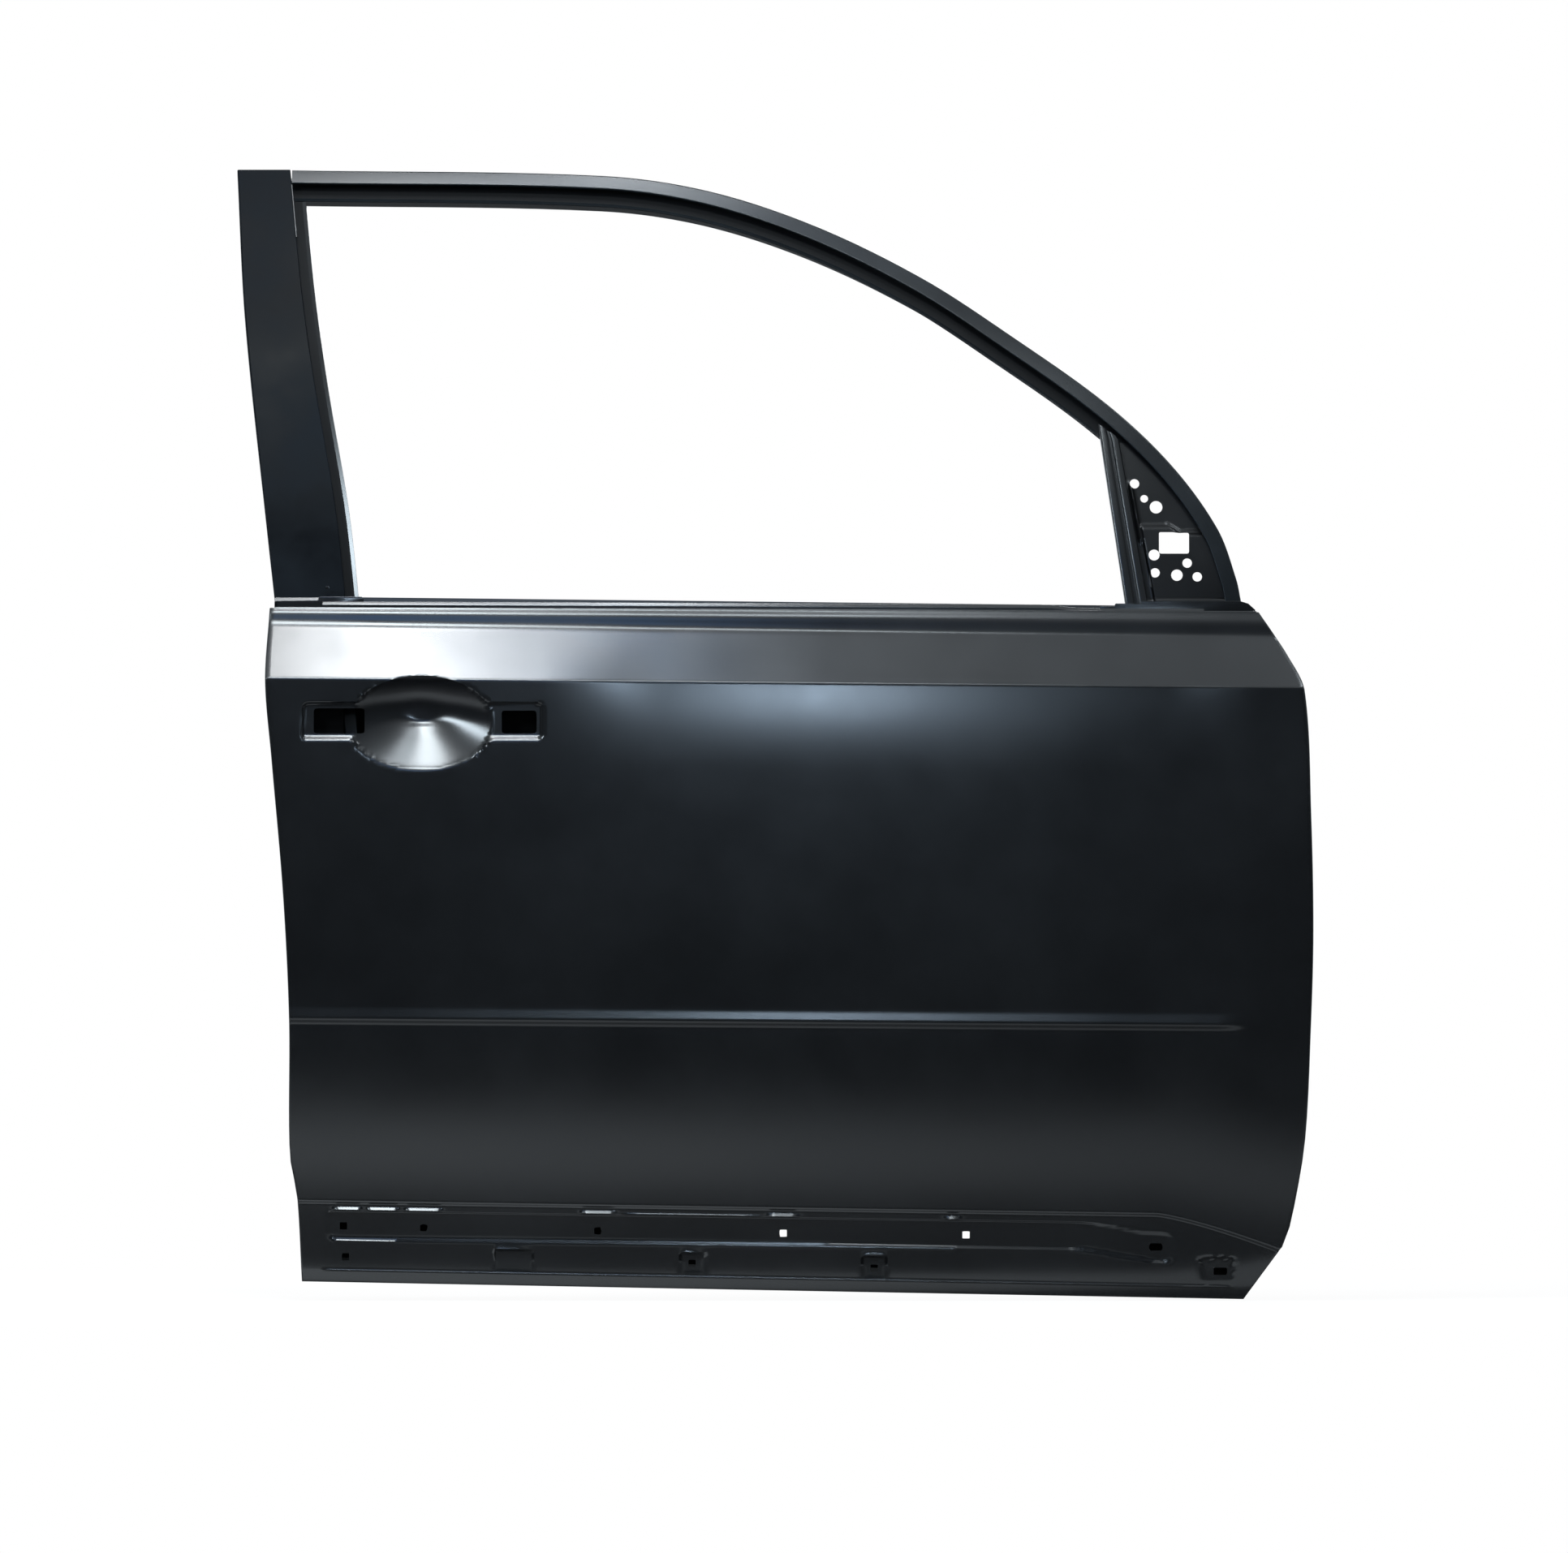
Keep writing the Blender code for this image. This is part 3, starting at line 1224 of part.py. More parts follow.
def post_stations():
    """Shared stations, so that the upright's pieces keep their gaps along the bend."""
    feet = [arc_length(z) for z in (GUIDE_FOOT_Z, GUIDE_BEND_Z, POST_FOOT_Z, POST_BOX_FOOT_Z)]
    rise = under_header() - feet[-1]
    above = [feet[-1] + rise * i / POST_STATIONS for i in range(1, POST_STATIONS + 1)]
    return feet + above + [arc_length(FRAME_TOP_Z)]


def post_sections(line_at, foot_z, top_s):
    """Sections of the rear upright, each at one distance round the cylinder."""
    sections = []
    foot = arc_length(foot_z)
    for s in [s for s in post_stations() if foot <= s <= top_s]:
        z = frame_arc()[1] + FRAME_RADIUS * math.sin(s / FRAME_RADIUS)
        front = REAR_EDGE_X + cubic(POST_FRONT_OFFSETS, z)
        rear = REAR_EDGE_X + cubic(POST_REAR_OFFSETS, max(z, POST_FOOT_Z))
        sections.append([frame_point(x, s, d) for x, d in line_at(rear, front)])
    return sections


def build_rear_post():
    top = arc_length(FRAME_TOP_Z)
    seat = CHANNEL_DEPTH + SHEET_GAP
    back = BOX_DEPTH - FRAME_SHEET
    behind_cover = FRAME_SHEET + SHEET_GAP

    def cover(rear, front):
        return sheet_loop([(rear, POST_RETURN), (rear, 0.0), (front, 0.0), (front, BAND_HEM)], FRAME_SHEET)

    def channel(rear, front):
        line = [(front + POST_CHANNEL_MOUTH + CHANNEL_LIP, CHANNEL_DEPTH - CHANNEL_LIP_RISE),
                (front + POST_CHANNEL_MOUTH, CHANNEL_DEPTH), (front - POST_CHANNEL_BACK, CHANNEL_DEPTH),
                (front - POST_CHANNEL_BACK, behind_cover), (front - behind_cover, behind_cover)]
        return sheet_loop(line, FRAME_SHEET)

    def box_line(rear, front):
        line = [(rear + 2 * behind_cover, POST_RETURN / 2), (rear + 2 * behind_cover, back),
                (front - POST_CHANNEL_BACK, back), (front - POST_CHANNEL_BACK + POST_BOX_SLOPE, seat),
                (front + POST_CHANNEL_MOUTH, seat)]
        return sheet_loop(line, FRAME_SHEET)

    object_from("frame_b_post_outer", loft(post_sections(cover, POST_FOOT_Z, top)))
    object_from("glass_channel_rear", loft(post_sections(channel, GUIDE_FOOT_Z, under_header())))
    object_from("frame_b_post_inner", loft(post_sections(box_line, POST_BOX_FOOT_Z, under_header())))


def bar_rear_x(z):
    slope = (BAR_REAR_TOP_X - BAR_REAR_BELT_X) / (BAR_TOP_Z - FRAME_BELT_Z)
    return BAR_REAR_BELT_X + slope * (z - FRAME_BELT_Z)


def bar_width(z):
    share = min(max((z - FRAME_BELT_Z) / (BAR_TOP_Z - FRAME_BELT_Z), 0.0), 1.0)
    return lerp(BAR_BELT_WIDTH, BAR_TOP_WIDTH, share)


def build_division_bar():
    sections = []
    heights = [lerp(BAR_FOOT_Z, FRAME_BELT_Z, share / 3) for share in range(3)]
    heights += [lerp(FRAME_BELT_Z, BAR_TOP_Z, share / 3) for share in range(4)]
    for z in heights:
        s = arc_length(z)
        wide = bar_width(z)
        groove = zip(BAR_GROOVE, (0.0, BAR_BEAD, BAR_BEAD, 0.0))
        line = [(0.0, BAR_OUT)] + [(wide * share, BAR_OUT + deep) for share, deep in groove]
        line += [(wide, BAR_OUT), (wide, BAR_BACK), (0.0, BAR_BACK)]
        mitre = BAR_TOP_MITRE if z == BAR_TOP_Z else 0.0
        sections.append([frame_point(bar_rear_x(z) + m, s - mitre * m, d)
                         for m, d in sheet_loop(line, FRAME_SHEET)])
    object_from("division_bar", loft(sections))


# Mirror corner


def sail_front_x(z):
    """Front edge of the mirror corner plate, under the header's band."""
    points = [(pz, px) for px, pz in reversed(HEADER_LINE[-6:])]
    if z < points[0][0]:
        return points[0][1] - SAIL_UNDER_BAND - (points[0][0] - z) * SAIL_FOOT_RUN
    slope = (cubic(points, z + 0.004) - cubic(points, z - 0.004)) / 0.008
    return cubic(points, z) - SAIL_UNDER_BAND * math.hypot(1.0, slope)


def build_sail_plate():
    step_top = SAIL_STEP_Z + SAIL_STEP_HEIGHT
    heights = [SAIL_FOOT_Z, HEADER_LINE[-1][1]]
    heights += [lerp(HEADER_LINE[-1][1], SAIL_STEP_Z, share / 2) for share in (1, 2)]
    heights += [lerp(step_top, SAIL_TOP_Z, share / 4) for share in range(5)]
    mesh = bmesh.new()
    rows = []
    for z in heights:
        rear = bar_rear_x(z) + bar_width(z) + 2 * SHEET_GAP
        front = sail_front_x(z)
        depth = SAIL_DEPTH if z > SAIL_STEP_Z else SAIL_DEPTH - SAIL_STEP
        rows.append([mesh.verts.new(frame_point(lerp(rear, front, share / 6), arc_length(z), depth))
                     for share in range(7)])
    grid_faces(mesh, rows)
    plate = object_from("mirror_sail_plate", mesh)
    solid = plate.modifiers.new("sheet", "SOLIDIFY")
    solid.thickness = SAIL_SHEET
    solid.offset = -1.0
    solid.use_even_offset = True
    boolean(plate, guide("sail_holes", joined(sail_holes())), "DIFFERENCE")


def sail_holes():
    holes = [prism_y(circle(x, z, size / 2, 14), *SAIL_CUT) for x, z, size in SAIL_HOLES]
    holes.append(prism_y(rounded_rectangle(*SAIL_WINDOW, SAIL_CORNER, 2), *SAIL_CUT))
    return holes


def build_mirror_reinforcement():
    depth = SAIL_DEPTH - SAIL_STEP + SAIL_SHEET + 2 * SHEET_GAP
    x_low, x_high, z_low, z_high = MIRROR_PLATE
    outline = rounded_rectangle(x_low, x_high, z_low, z_high, MIRROR_PLATE_CORNER, 3)
    sections = [[frame_point(x, arc_length(z), d) for x, z in outline] for d in (depth, depth + PLATE_SHEET)]
    plate = object_from("mirror_reinforcement", loft(sections))
    boolean(plate, guide("mirror_holes", joined(sail_holes())), "DIFFERENCE")


def build():
    clear_scene()
    set_out()
    build_outer_panel()
    build_inner_panel()
    build_header()
    build_rear_post()
    build_division_bar()
    build_sail_plate()
    build_mirror_reinforcement()
    build_outer_belt_reinforcement()
    build_inner_belt_reinforcement()
    build_impact_beam()
    build_beam_bracket("impact_beam_bracket_front", BEAM_FRONT, hinge_plane_x, -1)
    build_beam_bracket("impact_beam_bracket_rear", BEAM_REAR, latch_plane_x, 1)
    build_mastic_pads()
    build_hinge_reinforcement("hinge_reinforcement_upper", 0.0)
    build_hinge_reinforcement("hinge_reinforcement_lower", -HINGE_PITCH)
    build_tapping_plate("hinge_tapping_plate_upper", 0.0)
    build_tapping_plate("hinge_tapping_plate_lower", -HINGE_PITCH)
    build_check_link_reinforcement()
    build_latch_reinforcement()
    build_handle_brackets()


build()
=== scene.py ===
import math

import bmesh
import bpy
import numpy as np
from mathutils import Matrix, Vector


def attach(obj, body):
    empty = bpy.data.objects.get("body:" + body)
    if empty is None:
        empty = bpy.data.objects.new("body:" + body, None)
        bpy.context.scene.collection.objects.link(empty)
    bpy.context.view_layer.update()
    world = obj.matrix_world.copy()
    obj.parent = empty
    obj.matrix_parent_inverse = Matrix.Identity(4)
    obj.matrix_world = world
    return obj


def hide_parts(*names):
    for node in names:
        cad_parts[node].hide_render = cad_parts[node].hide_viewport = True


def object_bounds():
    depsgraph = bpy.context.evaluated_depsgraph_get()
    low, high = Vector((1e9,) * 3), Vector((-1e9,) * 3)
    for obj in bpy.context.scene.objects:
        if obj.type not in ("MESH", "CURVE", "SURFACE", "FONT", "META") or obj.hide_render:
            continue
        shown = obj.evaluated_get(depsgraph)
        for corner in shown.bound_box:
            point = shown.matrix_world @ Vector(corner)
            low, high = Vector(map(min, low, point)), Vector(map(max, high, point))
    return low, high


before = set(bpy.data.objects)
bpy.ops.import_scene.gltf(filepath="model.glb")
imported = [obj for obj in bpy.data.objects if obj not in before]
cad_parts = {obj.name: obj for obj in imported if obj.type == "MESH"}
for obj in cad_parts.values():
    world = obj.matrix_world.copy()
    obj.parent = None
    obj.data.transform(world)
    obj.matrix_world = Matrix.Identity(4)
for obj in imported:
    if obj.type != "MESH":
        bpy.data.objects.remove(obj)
cad_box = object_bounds()

# Camera: straight at the outside of the door from far off, as in a parts catalogue.
# A long lens keeps the near skin and the set-back window frame at one scale.
MIDDLE_X, MIDDLE_Y, MIDDLE_Z = -0.51935, 0.026, 0.00255
VIEW_DISTANCE = 36.0
VIEW_WIDTH = 1.6422


def placed(name, data):
    """A new object in the scene."""
    made = bpy.data.objects.new(name, data)
    bpy.context.scene.collection.objects.link(made)
    return made


camera_data = bpy.data.cameras.new("camera")
camera_data.sensor_width = 36.0
camera_data.lens = camera_data.sensor_width * VIEW_DISTANCE / VIEW_WIDTH
camera_data.clip_start = 1.0
camera_data.clip_end = 80.0
camera = placed("camera", camera_data)
camera.location = (MIDDLE_X, MIDDLE_Y - VIEW_DISTANCE, MIDDLE_Z)
camera.rotation_euler = (math.radians(90), 0, 0)
bpy.context.scene.camera = camera
bpy.context.scene.view_settings.view_transform = "Standard"

# Studio: white behind the door and overhead, dark on the camera's side, and soft lamps.
# The camera sees plain white, and the paint mirrors the room.
COOL_WHITE = (0.86, 0.94, 1.0, 1)


def node(tree, kind, inputs=None, **settings):
    """A new node. Its inputs are numbers, colours or the outputs of other nodes."""
    made = tree.nodes.new(kind)
    for name, value in settings.items():
        setattr(made, name, value)
    for name, value in (inputs or {}).items():
        if isinstance(value, bpy.types.NodeSocket):
            tree.links.new(value, made.inputs[name])
        else:
            made.inputs[name].default_value = value
    return made


def remap(tree, value, low, high, to_low, to_high, kind="LINEAR"):
    limits = {"Value": value, "From Min": low, "From Max": high, "To Min": to_low, "To Max": to_high}
    return node(tree, "ShaderNodeMapRange", limits, interpolation_type=kind).outputs["Result"]


def combine(tree, operation, first, second):
    return node(tree, "ShaderNodeMath", {0: first, 1: second}, operation=operation).outputs[0]


def blend(tree, share, first, second):
    """The first shader, or the second by its share."""
    return node(tree, "ShaderNodeMixShader", {0: share, 1: first, 2: second}).outputs[0]


def rays_and_place(tree, space):
    """Whether a ray is the camera's and whether it is mirrored, and the place it hits."""
    tree.nodes.clear()
    ways = node(tree, "ShaderNodeLightPath").outputs
    place = node(tree, "ShaderNodeTexCoord").outputs[space]
    seen = combine(tree, "MAXIMUM", ways["Is Camera Ray"], ways["Is Transmission Ray"])
    return seen, ways["Is Glossy Ray"], node(tree, "ShaderNodeSeparateXYZ", {0: place}).outputs


world = bpy.data.worlds.new("studio")
bpy.context.scene.world = world
world.use_nodes = True
tree = world.node_tree
seen, glossy, place = rays_and_place(tree, "Generated")
behind = remap(tree, place["Y"], -0.25, 0.35, 0.06, 1.0, "SMOOTHSTEP")
ceiling = remap(tree, place["Z"], 0.25, 0.95, 0.0, 1.02, "SMOOTHSTEP")
room = combine(tree, "MAXIMUM", behind, ceiling)
plain = node(tree, "ShaderNodeBackground", {"Color": (1, 1, 1, 1), "Strength": 1.0})
mirrored = node(tree, "ShaderNodeBackground", {"Color": COOL_WHITE, "Strength": room})
ambient = node(tree, "ShaderNodeBackground", {"Color": (0.92, 0.96, 1.0, 1), "Strength": 0.42})
lit = blend(tree, glossy, ambient.outputs[0], mirrored.outputs[0])
node(tree, "ShaderNodeOutputWorld", {"Surface": blend(tree, seen, lit, plain.outputs[0])})

# Each lamp: its place, what it points at, its two sizes, its radiance and its colour.
LAMPS = {
    "shoulder_softbox": ((-1.02, -0.98, 2.50), (-0.92, -0.03, 0.15), 0.27, 0.34, 54.0, (0.95, 0.98, 1.0)),
    "shoulder_wash": ((-0.78, -0.98, 2.50), (-0.70, -0.03, 0.15), 0.30, 0.34, 4.4, (0.16, 0.48, 1.0)),
    "header_softbox": ((-0.68, -0.64, 2.50), (-0.66, 0.17, 0.63), 0.16, 0.16, 70.0, (0.90, 0.96, 1.0)),
    "front_glow": ((-0.43, -2.98, 0.64), (-0.47, -0.03, 0.08), 0.12, 0.14, 118.0, (0.62, 0.80, 1.0)),
    "edge_strip": ((-0.70, -2.05, 2.38), (-0.70, 0.0, -0.4), 0.95, 0.24, 20.0, (0.84, 0.94, 1.0)),
    "sill_glow": ((-0.95, -2.60, 1.52), (-0.85, 0.0, 0.16), 0.80, 0.40, 3.0, (0.25, 0.50, 1.0)),
    "cup_middle": ((-1.16, -1.60, 2.00), (-0.89, -0.06, 0.01), 0.60, 0.40, 30.0, (0.86, 0.95, 1.0)),
    "cup_rear": ((-2.50, -2.10, 1.38), (-0.9, 0.0, 0.05), 0.46, 0.60, 30.0, (0.78, 0.91, 1.0)),
    "corner_softbox": ((0.85, -0.76, 2.56), (-0.10, 0.0, 0.26), 0.36, 0.36, 26.0, (0.85, 0.94, 1.0)),
    "side_fill": ((1.9, -2.2, 0.9), (-0.4, 0.0, 0.0), 0.5, 1.2, 2.0, (0.75, 0.9, 1.0)),
    "rear_fill": ((-0.6, 3.0, 1.4), (-0.5, 0.1, 0.0), 1.8, 1.4, 5.0, (0.97, 0.98, 1.0)),
}
for name, (at, target, wide, tall, radiance, colour) in LAMPS.items():
    data = bpy.data.lights.new(name, "AREA")
    data.shape = "RECTANGLE"
    data.size, data.size_y = wide, tall
    data.energy = 4 * radiance * wide * tall
    data.color = colour
    lamp = placed(name, data)
    lamp.location = at
    lamp.rotation_euler = (Vector(target) - Vector(at)).to_track_quat("-Z", "Y").to_euler()

# Floor: a pale painted board just under the door, white to the camera.
# To mirrored rays it shows painted light: an emission laid out by place as a pool of light, which the door's
# turned-under foot mirrors, with one bright line that paints the hem's highlight.
FLOOR_Z = cad_box[0][2] - 0.0015
WHITE_SHARE = 0.93
floor_corners = [(x, y, FLOOR_Z) for x, y in ((-2.6, -1.7), (1.6, -1.7), (1.6, 2.2), (-2.6, 2.2))]
floor_mesh = bpy.data.meshes.new("floor")
floor_mesh.from_pydata(floor_corners, [], [(0, 1, 2, 3)])
floor = placed("floor", floor_mesh)
board = bpy.data.materials.new("pale_board_painted_pool")
board.use_nodes = True
tree = board.node_tree
seen, glossy, place = rays_and_place(tree, "Object")
# Painted pool of light: the strength of the board's glow to mirrored rays by distance in front of the door,
# with a step near the door that paints the hem's bright line.
painted_pool = node(tree, "ShaderNodeFloatCurve", {"Value": remap(tree, place["Y"], -1.6, 0.0, 0.0, 1.0)})
painted_pool_points = ((0.0, 0.0), (0.16, 0.06), (0.37, 0.16), (0.55, 0.62), (0.66, 0.80), (0.76, 0.62), (0.85, 0.20),
               (0.89, 0.19), (0.947, 0.20), (0.957, 1.0), (0.977, 1.0), (0.987, 0.2), (1.0, 0.2))
curve = painted_pool.mapping.curves[0]
curve.points[0].location = painted_pool_points[0]
curve.points[1].location = painted_pool_points[-1]
for point in painted_pool_points[1:-1]:
    curve.points.new(*point)
painted_pool.mapping.update()
# The painted pool is stronger towards the door's rear end.
painted_pool_sideways = remap(tree, place["X"], -1.0, 0.1, 1.50, 0.90, "SMOOTHSTEP")
lit = combine(tree, "MULTIPLY", painted_pool.outputs[0], painted_pool_sideways)
white = node(tree, "ShaderNodeEmission")
mirrored = node(tree, "ShaderNodeEmission", {"Color": COOL_WHITE, "Strength": lit})
paint = node(tree, "ShaderNodeBsdfDiffuse", {"Color": (0.88, 0.88, 0.88, 1)})
direct = blend(tree, combine(tree, "MULTIPLY", seen, WHITE_SHARE), paint.outputs[0], white.outputs[0])
node(tree, "ShaderNodeOutputMaterial", {"Surface": blend(tree, glossy, direct, mirrored.outputs[0])})
floor_mesh.materials.append(board)

# Primer: black electrodip coat, semi-gloss, on every pressed piece of the shell.
# Its surface has a faint orange peel, soft mottling in the gloss and fine dust.


def node_group(name, kind, inputs, outputs):
    """An empty node group with named inputs (name, type, value) and outputs (name, type)."""
    made = bpy.data.node_groups.new(name, kind)
    for label, socket, value in inputs:
        added = made.interface.new_socket(label, in_out="INPUT", socket_type="NodeSocket" + socket)
        if value is not None:
            added.default_value = value
    for label, socket in outputs:
        made.interface.new_socket(label, in_out="OUTPUT", socket_type="NodeSocket" + socket)
    return made, made.nodes.new("NodeGroupInput").outputs, made.nodes.new("NodeGroupOutput").inputs


def noise(tree, vector, scale, detail, roughness=0.5):
    grain = {"Vector": vector, "Scale": scale, "Detail": detail, "Roughness": roughness}
    return node(tree, "ShaderNodeTexNoise", grain).outputs["Fac"]


def join(tree, values, sockets):
    for label, value in values.items():
        tree.links.new(value, sockets[label])


PEEL_SCALE, PEEL_SHARE, GRAIN_SCALE, GRAIN_SHARE, CLOUD_SCALE = 260.0, 0.95, 1900.0, 0.05, 7.0
dip_coat, given, result = node_group("dip_coat", "ShaderNodeTree",
                                     [("Place", "Vector", None), ("Mottle", "Float", 0.04)],
                                     [("Dust", "Float"), ("Gloss Shift", "Float"), ("Height", "Float")])
peel = combine(dip_coat, "MULTIPLY", noise(dip_coat, given["Place"], PEEL_SCALE, 2.0), PEEL_SHARE)
grain = combine(dip_coat, "MULTIPLY", noise(dip_coat, given["Place"], GRAIN_SCALE, 1.0), GRAIN_SHARE)
cloud = noise(dip_coat, given["Place"], CLOUD_SCALE, 4.0, 0.6)
spread = remap(dip_coat, cloud, 0.3, 0.7, -1.0, 1.0)
join(dip_coat, {"Gloss Shift": combine(dip_coat, "MULTIPLY", spread, given["Mottle"]),
                "Dust": remap(dip_coat, cloud, 0.35, 0.75, 0.0, 1.0),
                "Height": combine(dip_coat, "ADD", peel, grain)}, result)


def primer(name, roughness, dark, dusty, mottle=0.04, bump=0.000002, specular=0.5):
    """A primer finish: its roughness, its colour clean and dusty, how much its gloss varies,
    the height of its relief in metres and how strongly it mirrors."""
    made = bpy.data.materials.new(name)
    made.use_nodes = True
    tree = made.node_tree
    place = node(tree, "ShaderNodeTexCoord").outputs["Object"]
    coat = node(tree, "ShaderNodeGroup", {"Place": place, "Mottle": mottle}, node_tree=dip_coat).outputs
    colour = node(tree, "ShaderNodeMix", {"A": (*dark, 1), "B": (*dusty, 1), "Factor": coat["Dust"]},
                  data_type="RGBA")
    relief = node(tree, "ShaderNodeBump", {"Strength": 1.0, "Distance": bump, "Height": coat["Height"]})
    shader = tree.nodes["Principled BSDF"].inputs
    shader["Specular IOR Level"].default_value = specular
    join(tree, {"Base Color": colour.outputs["Result"], "Normal": relief.outputs["Normal"],
                "Roughness": combine(tree, "ADD", coat["Gloss Shift"], roughness)}, shader)
    return made


# Outer skin: one pressing of 0.8 mm steel sheet, with its crease, feature line and recesses.
# Its edge is folded round the inner panel in a hem, and its top is folded in at the window.
REAR_EDGE = ((-0.526, -1.0238), (-0.437, -1.0285), (-0.392, -1.0360), (-0.251, -1.0366),
             (-0.119, -1.0430), (0.021, -1.0550), (0.103, -1.0617), (0.181, -1.0574))
FRONT_EDGE = ((-0.485, 0.0050), (-0.454, 0.0128), (-0.377, 0.0255), (-0.258, 0.0315),
              (-0.160, 0.0340), (-0.040, 0.0318), (0.094, 0.0247), (0.131, 0.0068),
              (0.158, -0.0110), (0.180, -0.0260))
CHAMFER = ((0.0050, -0.485), (-0.0390, -0.5457))
BODY_REAR = -1.040
BODY_LENGTH = 1.040
HINGE_SEAT_Y = 0.074
SKIN_SHEET = 0.0008
SHEET_GAP = 0.0003
HEM_RADIUS = 0.00175
HEM_WIDTH = 0.0102
PLAN_BOW, PLAN_MIDDLE = 0.0140, -0.62
BELLY_Z = -0.120
UPPER_TURN, LOWER_TURN, LOWER_TURN_POWER = 0.0040, 0.0480, 2.6
CLADDING_DROP, CLADDING_DROP_FROM, CLADDING_DROP_POWER = 0.0360, -0.130, 1.3
LINE_END, LINE_FADE = -0.030, 0.035
SET_IN, SET_IN_REAR, SET_IN_FRONT = 0.0030, -0.770, -0.020
SHOULDER_DEPTH, TOP_DEPTH, TOP_CHAMFER, TOP_CHAMFER_SLOPE = 0.0440, 0.0480, 0.0042, 0.445

# Nominal height of each pressed line, how far it falls towards the front, and which lines
# drop with the cladding at the front corner.
BOTTOM, BAND_TOP, RECESS_TOP, STEP_TOP = -0.5260, -0.5132, -0.4433, -0.4403
LINE_FOOT, LINE_RETURN, LINE_PEAK, LINE_TOP = -0.2675, -0.2550, -0.2505, -0.2380
CREASE, SHOULDER, TOP = 0.1054, 0.1630, 0.1790
HEIGHTS = (BOTTOM, BAND_TOP, RECESS_TOP, STEP_TOP, LINE_FOOT, LINE_TOP, CREASE, SHOULDER, TOP)
FALLS = (0.0197, 0.0197, 0.0160, 0.0160, 0.0077, 0.0077, 0.0098, 0.0140, 0.0045)
DROPS = (0.0, 0.0, 1.0, 1.0, 0.0, 0.0, 0.0, 0.0, 0.0)


def cubic(points, t):
    """Values at t of a smooth curve through (t, value) points."""
    t = np.asarray(t, float)
    ts, vs = np.array(points).T
    i = np.clip(np.searchsorted(ts, t, side="left") - 1, 0, len(ts) - 2)
    before = np.maximum(i - 1, 0)
    after = np.minimum(i + 2, len(ts) - 1)
    span = ts[i + 1] - ts[i]
    slope0 = (vs[i + 1] - vs[before]) / (ts[i + 1] - ts[before])
    slope1 = (vs[after] - vs[i]) / (ts[after] - ts[i])
    u = (t - ts[i]) / span
    return (vs[i] * (1 + 2 * u) * (1 - u) ** 2 + slope0 * span * u * (1 - u) ** 2
            + vs[i + 1] * u * u * (3 - 2 * u) + slope1 * span * u * u * (u - 1))


def ease(t):
    t = np.clip(t, 0.0, 1.0)
    return t * t * (3 - 2 * t)


def rear_edge(z):
    return cubic(REAR_EDGE, np.minimum(z, 0.179))


def front_edge(z):
    (x0, z0), (x1, z1) = CHAMFER
    low = x0 + (x1 - x0) / (z1 - z0) * (z - z0)
    return np.where(z > z0, cubic(FRONT_EDGE, np.clip(z, z0, 0.180)), low)


def plan(x):
    """The door's bow along the car, seen from above."""
    return PLAN_BOW * ((x - PLAN_MIDDLE) / PLAN_MIDDLE) ** 2


def along(x):
    return (x - BODY_REAR) / BODY_LENGTH


def bulge(z):
    """The skin's turn inwards above and below its belly."""
    upper = UPPER_TURN * ((z - BELLY_Z) / (CREASE - BELLY_Z)) ** 2
    lower = LOWER_TURN * (np.maximum(BELLY_Z - z, 0.0) / (BELLY_Z - BOTTOM)) ** LOWER_TURN_POWER
    return np.where(z > BELLY_Z, upper, lower)


def fallen(height, x):
    """Real height of a nominal height at x."""
    fall = np.interp(height, HEIGHTS, FALLS)
    drop = CLADDING_DROP * np.interp(height, HEIGHTS, DROPS)
    run = np.maximum(x - CLADDING_DROP_FROM, 0.0) / -CLADDING_DROP_FROM
    return height - fall * along(x) - drop * run ** CLADDING_DROP_POWER


def side_profile(height, x):
    """Depth of the skin at a nominal height, without rounding."""
    fade = 1 - ease((x - LINE_END + LINE_FADE) / LINE_FADE)
    set_in = SET_IN * ease((x - SET_IN_REAR) / 0.120) * ease((SET_IN_FRONT - x) / 0.100)
    flat = bulge(height) + set_in * np.maximum(1 - (CREASE - height) / 0.09, 0.0) ** 2
    shoulder = np.interp(height, (CREASE, SHOULDER, TOP), (UPPER_TURN, SHOULDER_DEPTH, TOP_DEPTH))
    shoulder = shoulder + set_in * np.clip((SHOULDER - height) / (SHOULDER - CREASE), 0.0, 1.0)
    chamfer = TOP - TOP_CHAMFER - 0.0030 * np.clip(along(x), 0.0, 1.0)
    shoulder = shoulder + TOP_CHAMFER_SLOPE * np.maximum(height - chamfer, 0.0)
    line = np.interp(height, (LINE_FOOT, LINE_RETURN, LINE_PEAK, LINE_TOP), (0.0, 0.0006, -0.0022, 0.0))
    recess = np.interp(height, (BOTTOM, BAND_TOP, RECESS_TOP, STEP_TOP), (0.0052, 0.0028, 0.0040, 0.0))
    return np.where(height > CREASE, shoulder, flat) + line * fade + recess


def rounded_profile(height, x):
    """The profile averaged over a small height, which rounds its bends."""
    radius = np.interp(height, (CREASE, CREASE + 0.015, SHOULDER - 0.008, SHOULDER + 0.004, TOP),
                       (0.0016, 0.0016, 0.0050, 0.0045, 0.0008))
    shares = np.linspace(-1.0, 1.0, 9)
    moved = (np.clip(height + share * radius, BOTTOM, TOP) for share in shares)
    return sum(side_profile(at, x) for at in moved) / len(shares)


def pressed(inside, wall):
    """Share of a pocket's depth at a distance inside its outline."""
    return ease(inside / wall)


def inside_box(x, z, x_low, x_high, z_low, z_high, corner):
    """Distance inside a rounded rectangle, below zero outside it."""
    qx = np.abs(x - (x_low + x_high) / 2) - (x_high - x_low) / 2 + corner
    qz = np.abs(z - (z_low + z_high) / 2) - (z_high - z_low) / 2 + corner
    outside = np.hypot(np.maximum(qx, 0.0), np.maximum(qz, 0.0))
    return corner - outside - np.minimum(np.maximum(qx, qz), 0.0)


